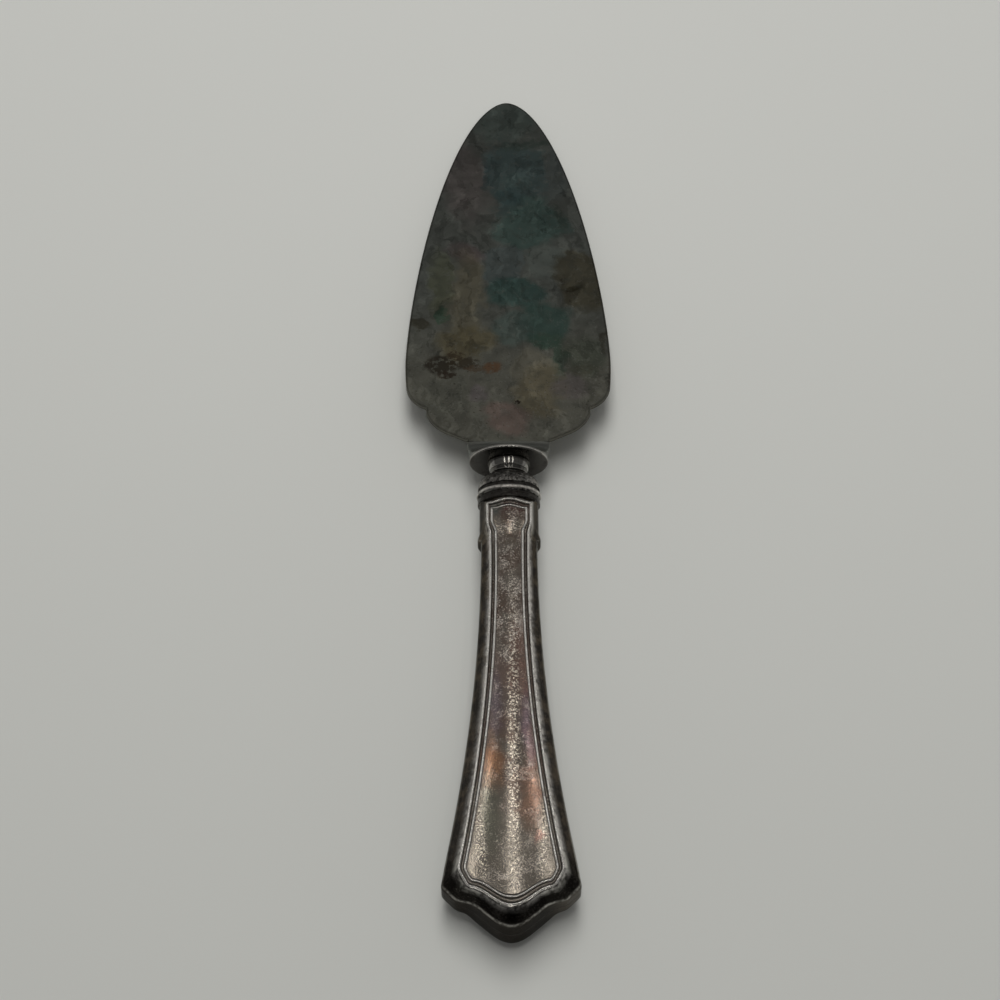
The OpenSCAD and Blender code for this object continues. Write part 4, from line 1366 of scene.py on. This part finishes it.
            rows.append((mix(rim, brow, v), 0.0, edge, 1.0, 0.0))
        for s in (1.0, 0.86, 0.72, 0.58, 0.44, 0.30, 0.15, 0.0):
            # edge mask on the rounded side edge: rubbed wear with a painted highlight
            wear_and_glint = 0.5 * max(0.0, 1.0 - abs(s - 0.55) / 0.3)
            rows.append((self.side(s), 0.0, wear_and_glint, 1.0, 1.0 - s))
        for v, groove in ((0.3, 0.0), (0.6, 0.0), (0.9, 0.0), (0.975, 0.3)):
            rows.append((mix(top, foot, v), groove, 0.0, 1.0, 1.0))
        rows.append((self.seam(0.07), 1.0, 0.0, 1.0, 1.0))
        g, under = self.wall, self.rim_in(self.wall)
        hollow = [self.seam(g), self.side_in(g), under]
        hollow += [self.drawn_in(under, q, self.field_sink + g) for q in (0.45, 0.8)]
        return ([(self.soften(row[0]), *row[1:]) for row in rows]
                + [(half, 0.6, 0.0, 1.0, 1.0) for half in hollow])

    def build_shell(self, which: Half, material: bpy.types.Material) -> bpy.types.Object:
        """Build one stamped shell with its wall.

        Args:
            which: upper or lower half.
            material: finish of the shell.

        Returns:
            The piece's object.
        """
        rows = self.shell_rings()
        rings = [self.whole(row[0], which) for row in rows]
        count = len(rings[0])
        faces = bands(len(rings), count)
        for base, order in ((0, 1), ((len(rings) - 1) * count, -1)):
            for j in range(len(self.k) - 1):
                ends = [base + j, base + j + 1, base + (count - j - 1) % count, base + (count - j) % count]
                faces.append(list(dict.fromkeys(ends))[::order])
        zones = {name: np.repeat([row[number] for row in rows], count)
                 for number, name in enumerate(("groove", "edge", "side", "wall"), 1)}
        name = f"{which.name.lower()}_shell_plate"
        return make_piece(name, REST.place(np.vstack(rings)), faces, material, zones=zones)

    def dress(self) -> None:
        """Build both shells and their threads in their finishes and put them in the frame."""
        plate, wear_and_glint = HandleFinish().material(), ThreadFinish().material()
        for which in Half:
            node = f"{which.name.lower()}_shell"
            settle(self.build_shell(which, plate), Slot.HANDLE, node)
            rings = [self.whole(self.soften(self.border(u, top - self.wire_r)), which)
                     for u, top in ((0.12, self.thread_h - 0.005), (1.0, -0.02))]
            settle(thread_sweep(f"{node}_threads", rings, wear_and_glint, self.wire_r), Slot.HANDLE)


@dataclass
class Core:
    """Tang and filling inside the handle, kept as they are in the frame."""

    tang: InnerFinish = InnerFinish("tang_iron", (0.30, 0.28, 0.26), (0.16, 0.13, 0.11), 1.0, 0.45, 1.2)
    filling: InnerFinish = InnerFinish("filling_cement", (0.42, 0.38, 0.33), (0.28, 0.25, 0.22), 0.0, 0.85, 1.6)

    def dress(self) -> None:
        """Give the two inner nodes their finishes."""
        for name, finish in (("tang", self.tang), ("filler", self.filling)):
            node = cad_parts[name]
            made = finish.material()
            if not node.material_slots:
                node.data.materials.append(made)
            for holder in node.material_slots:
                holder.material = made
            log.info("%s: kept with %s", name, made.name)


@dataclass
class Studio:
    """Pale table, soft light from above, two rows of three strip lamps, a dim room and the camera."""

    floor_half: float = 15.0
    strip_z: float = 1.25
    strip_w: float = 0.024
    strips: Tuple[Tuple[str, float, float, float, Point], ...] = (
        ("far", 0.47, 0.34, 0.19, (-0.215, 0.014, 0.215)), ("near", -0.06, 0.62, 0.35, (-0.36, 0.02, 0.36)))
    lens_mm: float = 86.4
    elevation_deg: float = 55.0
    distance_mm: float = 595.33
    target_mm: Point = (-2.16, -7.0, 0.0)
    roll_deg: float = -0.21

    def floor(self) -> None:
        """Lay the table top."""
        h = self.floor_half
        mesh = bpy.data.meshes.new("table_top")
        mesh.from_pydata([(-h, -h, 0), (h, -h, 0), (h, h, 0), (-h, h, 0)], [], [(0, 1, 2, 3)])
        mesh.materials.append(FloorFinish().material())
        show("table_top", mesh)

    @staticmethod
    def _pose(side: np.ndarray, up: np.ndarray, back: np.ndarray, spot: np.ndarray) -> Matrix:
        """Matrix of an object with these axes at a place."""
        return Matrix([[side[i], up[i], back[i], spot[i]] for i in range(3)] + [[0.0, 0.0, 0.0, 1.0]])

    def _aim(self, place: Point, at: Point) -> Matrix:
        """Matrix of a lamp at a place that shines at a point."""
        spot = np.array(place, dtype=float)
        back = spot - np.array(at, dtype=float)
        back /= np.linalg.norm(back)
        side = np.cross([0.0, 1.0, 0.0] if abs(back[1]) < 0.9 else [1.0, 0.0, 0.0], back)
        side /= np.linalg.norm(side)
        return self._pose(side, np.cross(back, side), back, spot)

    def lamp(self, name: str, place: Point, at: Point, size: Tuple[float, float], power: float,
             colour: Colour, mirrored: bool = True) -> None:
        """Hang an area lamp.

        Args:
            name: name of the lamp.
            place: where it hangs, in metres.
            at: point that it shines at.
            size: width and height of the lamp.
            power: power in watts.
            colour: colour of its light.
            mirrored: whether polished metal mirrors it.
        """
        data = bpy.data.lights.new(name, "AREA")
        data.shape = "RECTANGLE"
        data.size, data.size_y = size
        data.energy = power
        data.color = colour
        lamp = show(name, data)
        lamp.matrix_world = self._aim(place, at)
        lamp.visible_camera = False
        lamp.visible_glossy = mirrored

    def lights(self) -> None:
        """Light the table softly and hang the strip lamps over it."""
        self.lamp("soft_box", (0.0, 0.16, 0.95), (0.0, 0.0, 0.0), (0.34, 1.0), 4.1, (1.0, 0.995, 0.97), False)
        for row, y, length, power, places in self.strips:
            for number, x in enumerate(places):
                self.lamp(f"{row}_strip_{number}", (x, y, self.strip_z), (x, y, 0.0),
                          (self.strip_w, length), power, STRIP_LIGHT)
        sun = bpy.data.lights.new("sky_fill", "SUN")
        sun.energy = 0.17
        sun.angle = math.radians(100.0)
        fill = show("sky_fill", sun)
        fill.matrix_world = self._aim((0.0, -0.45, 1.0), (0.0, 0.0, 0.0))
        fill.visible_glossy = False

    @staticmethod
    def room() -> None:
        """Fill the room with dim light, brighter in an arch overhead, along the horizon and at the rear."""
        world = bpy.data.worlds.new("dim_room")
        world.use_nodes = True
        world.node_tree.nodes.clear()
        recipe = Recipe(world.node_tree)
        way = recipe.node("ShaderNodeTexCoord", out="Generated")
        height, depth = recipe.axis(way, "Z"), recipe.axis(way, "Y")
        arch = depth.band(0.32, 0.42) * depth.band(0.56, 0.66, 0.40, 0.0) * height.band(0.0, 0.4, 0.15, 1.0)
        horizon = height.band(0.30, 0.46, 0.20, 0.0)
        flank = depth.band(-0.50, -0.30) * depth.band(0.25, 0.38, 0.03, 0.0)
        rear = depth.band(-0.36, -0.20, 0.10, 0.0) * height.band(0.50, 0.60)
        glow = arch + depth.band(-0.75, 0.0, 0.015, 0.06) + horizon + flank + rear
        back = recipe.node("ShaderNodeBackground", {}, {"Color": rgba((1.0, 0.985, 0.96)), "Strength": glow})
        recipe.node("ShaderNodeOutputWorld", {}, {"Surface": back})
        bpy.context.scene.world = world

    def camera(self) -> None:
        """Set up the camera at the photograph's angle."""
        el, roll = math.radians(self.elevation_deg), math.radians(self.roll_deg)
        ahead = np.array([0.0, math.cos(el), -math.sin(el)])
        down = np.array([0.0, -math.sin(el), -math.cos(el)])
        across = np.array([1.0, 0.0, 0.0])
        right = math.cos(roll) * across - math.sin(roll) * down
        low = math.cos(roll) * down + math.sin(roll) * across
        spot = (np.array(self.target_mm) - ahead * self.distance_mm) * MM
        data = bpy.data.cameras.new("camera")
        data.lens = self.lens_mm
        data.sensor_width = 36.0
        data.clip_start = 0.01
        data.clip_end = 100.0
        camera = show("camera", data)
        camera.matrix_world = self._pose(right, -low, -ahead, spot)
        bpy.context.scene.camera = camera

    def dress(self) -> None:
        """Set up the table, the light and the camera."""
        self.camera()
        self.floor()
        self.lights()
        self.room()
        bpy.context.scene.view_settings.view_transform = "Standard"
        log.info("studio: table, lamps and camera")


def main() -> None:
    """Build the server piece by piece and set the studio."""
    logging.basicConfig(level=logging.INFO, format="%(name)s: %(message)s")
    for part in (Studio(), Blade(), Bolster(), Ferrule(), Handle(), Core()):
        part.dress()


if __name__ == "__main__":
    main()
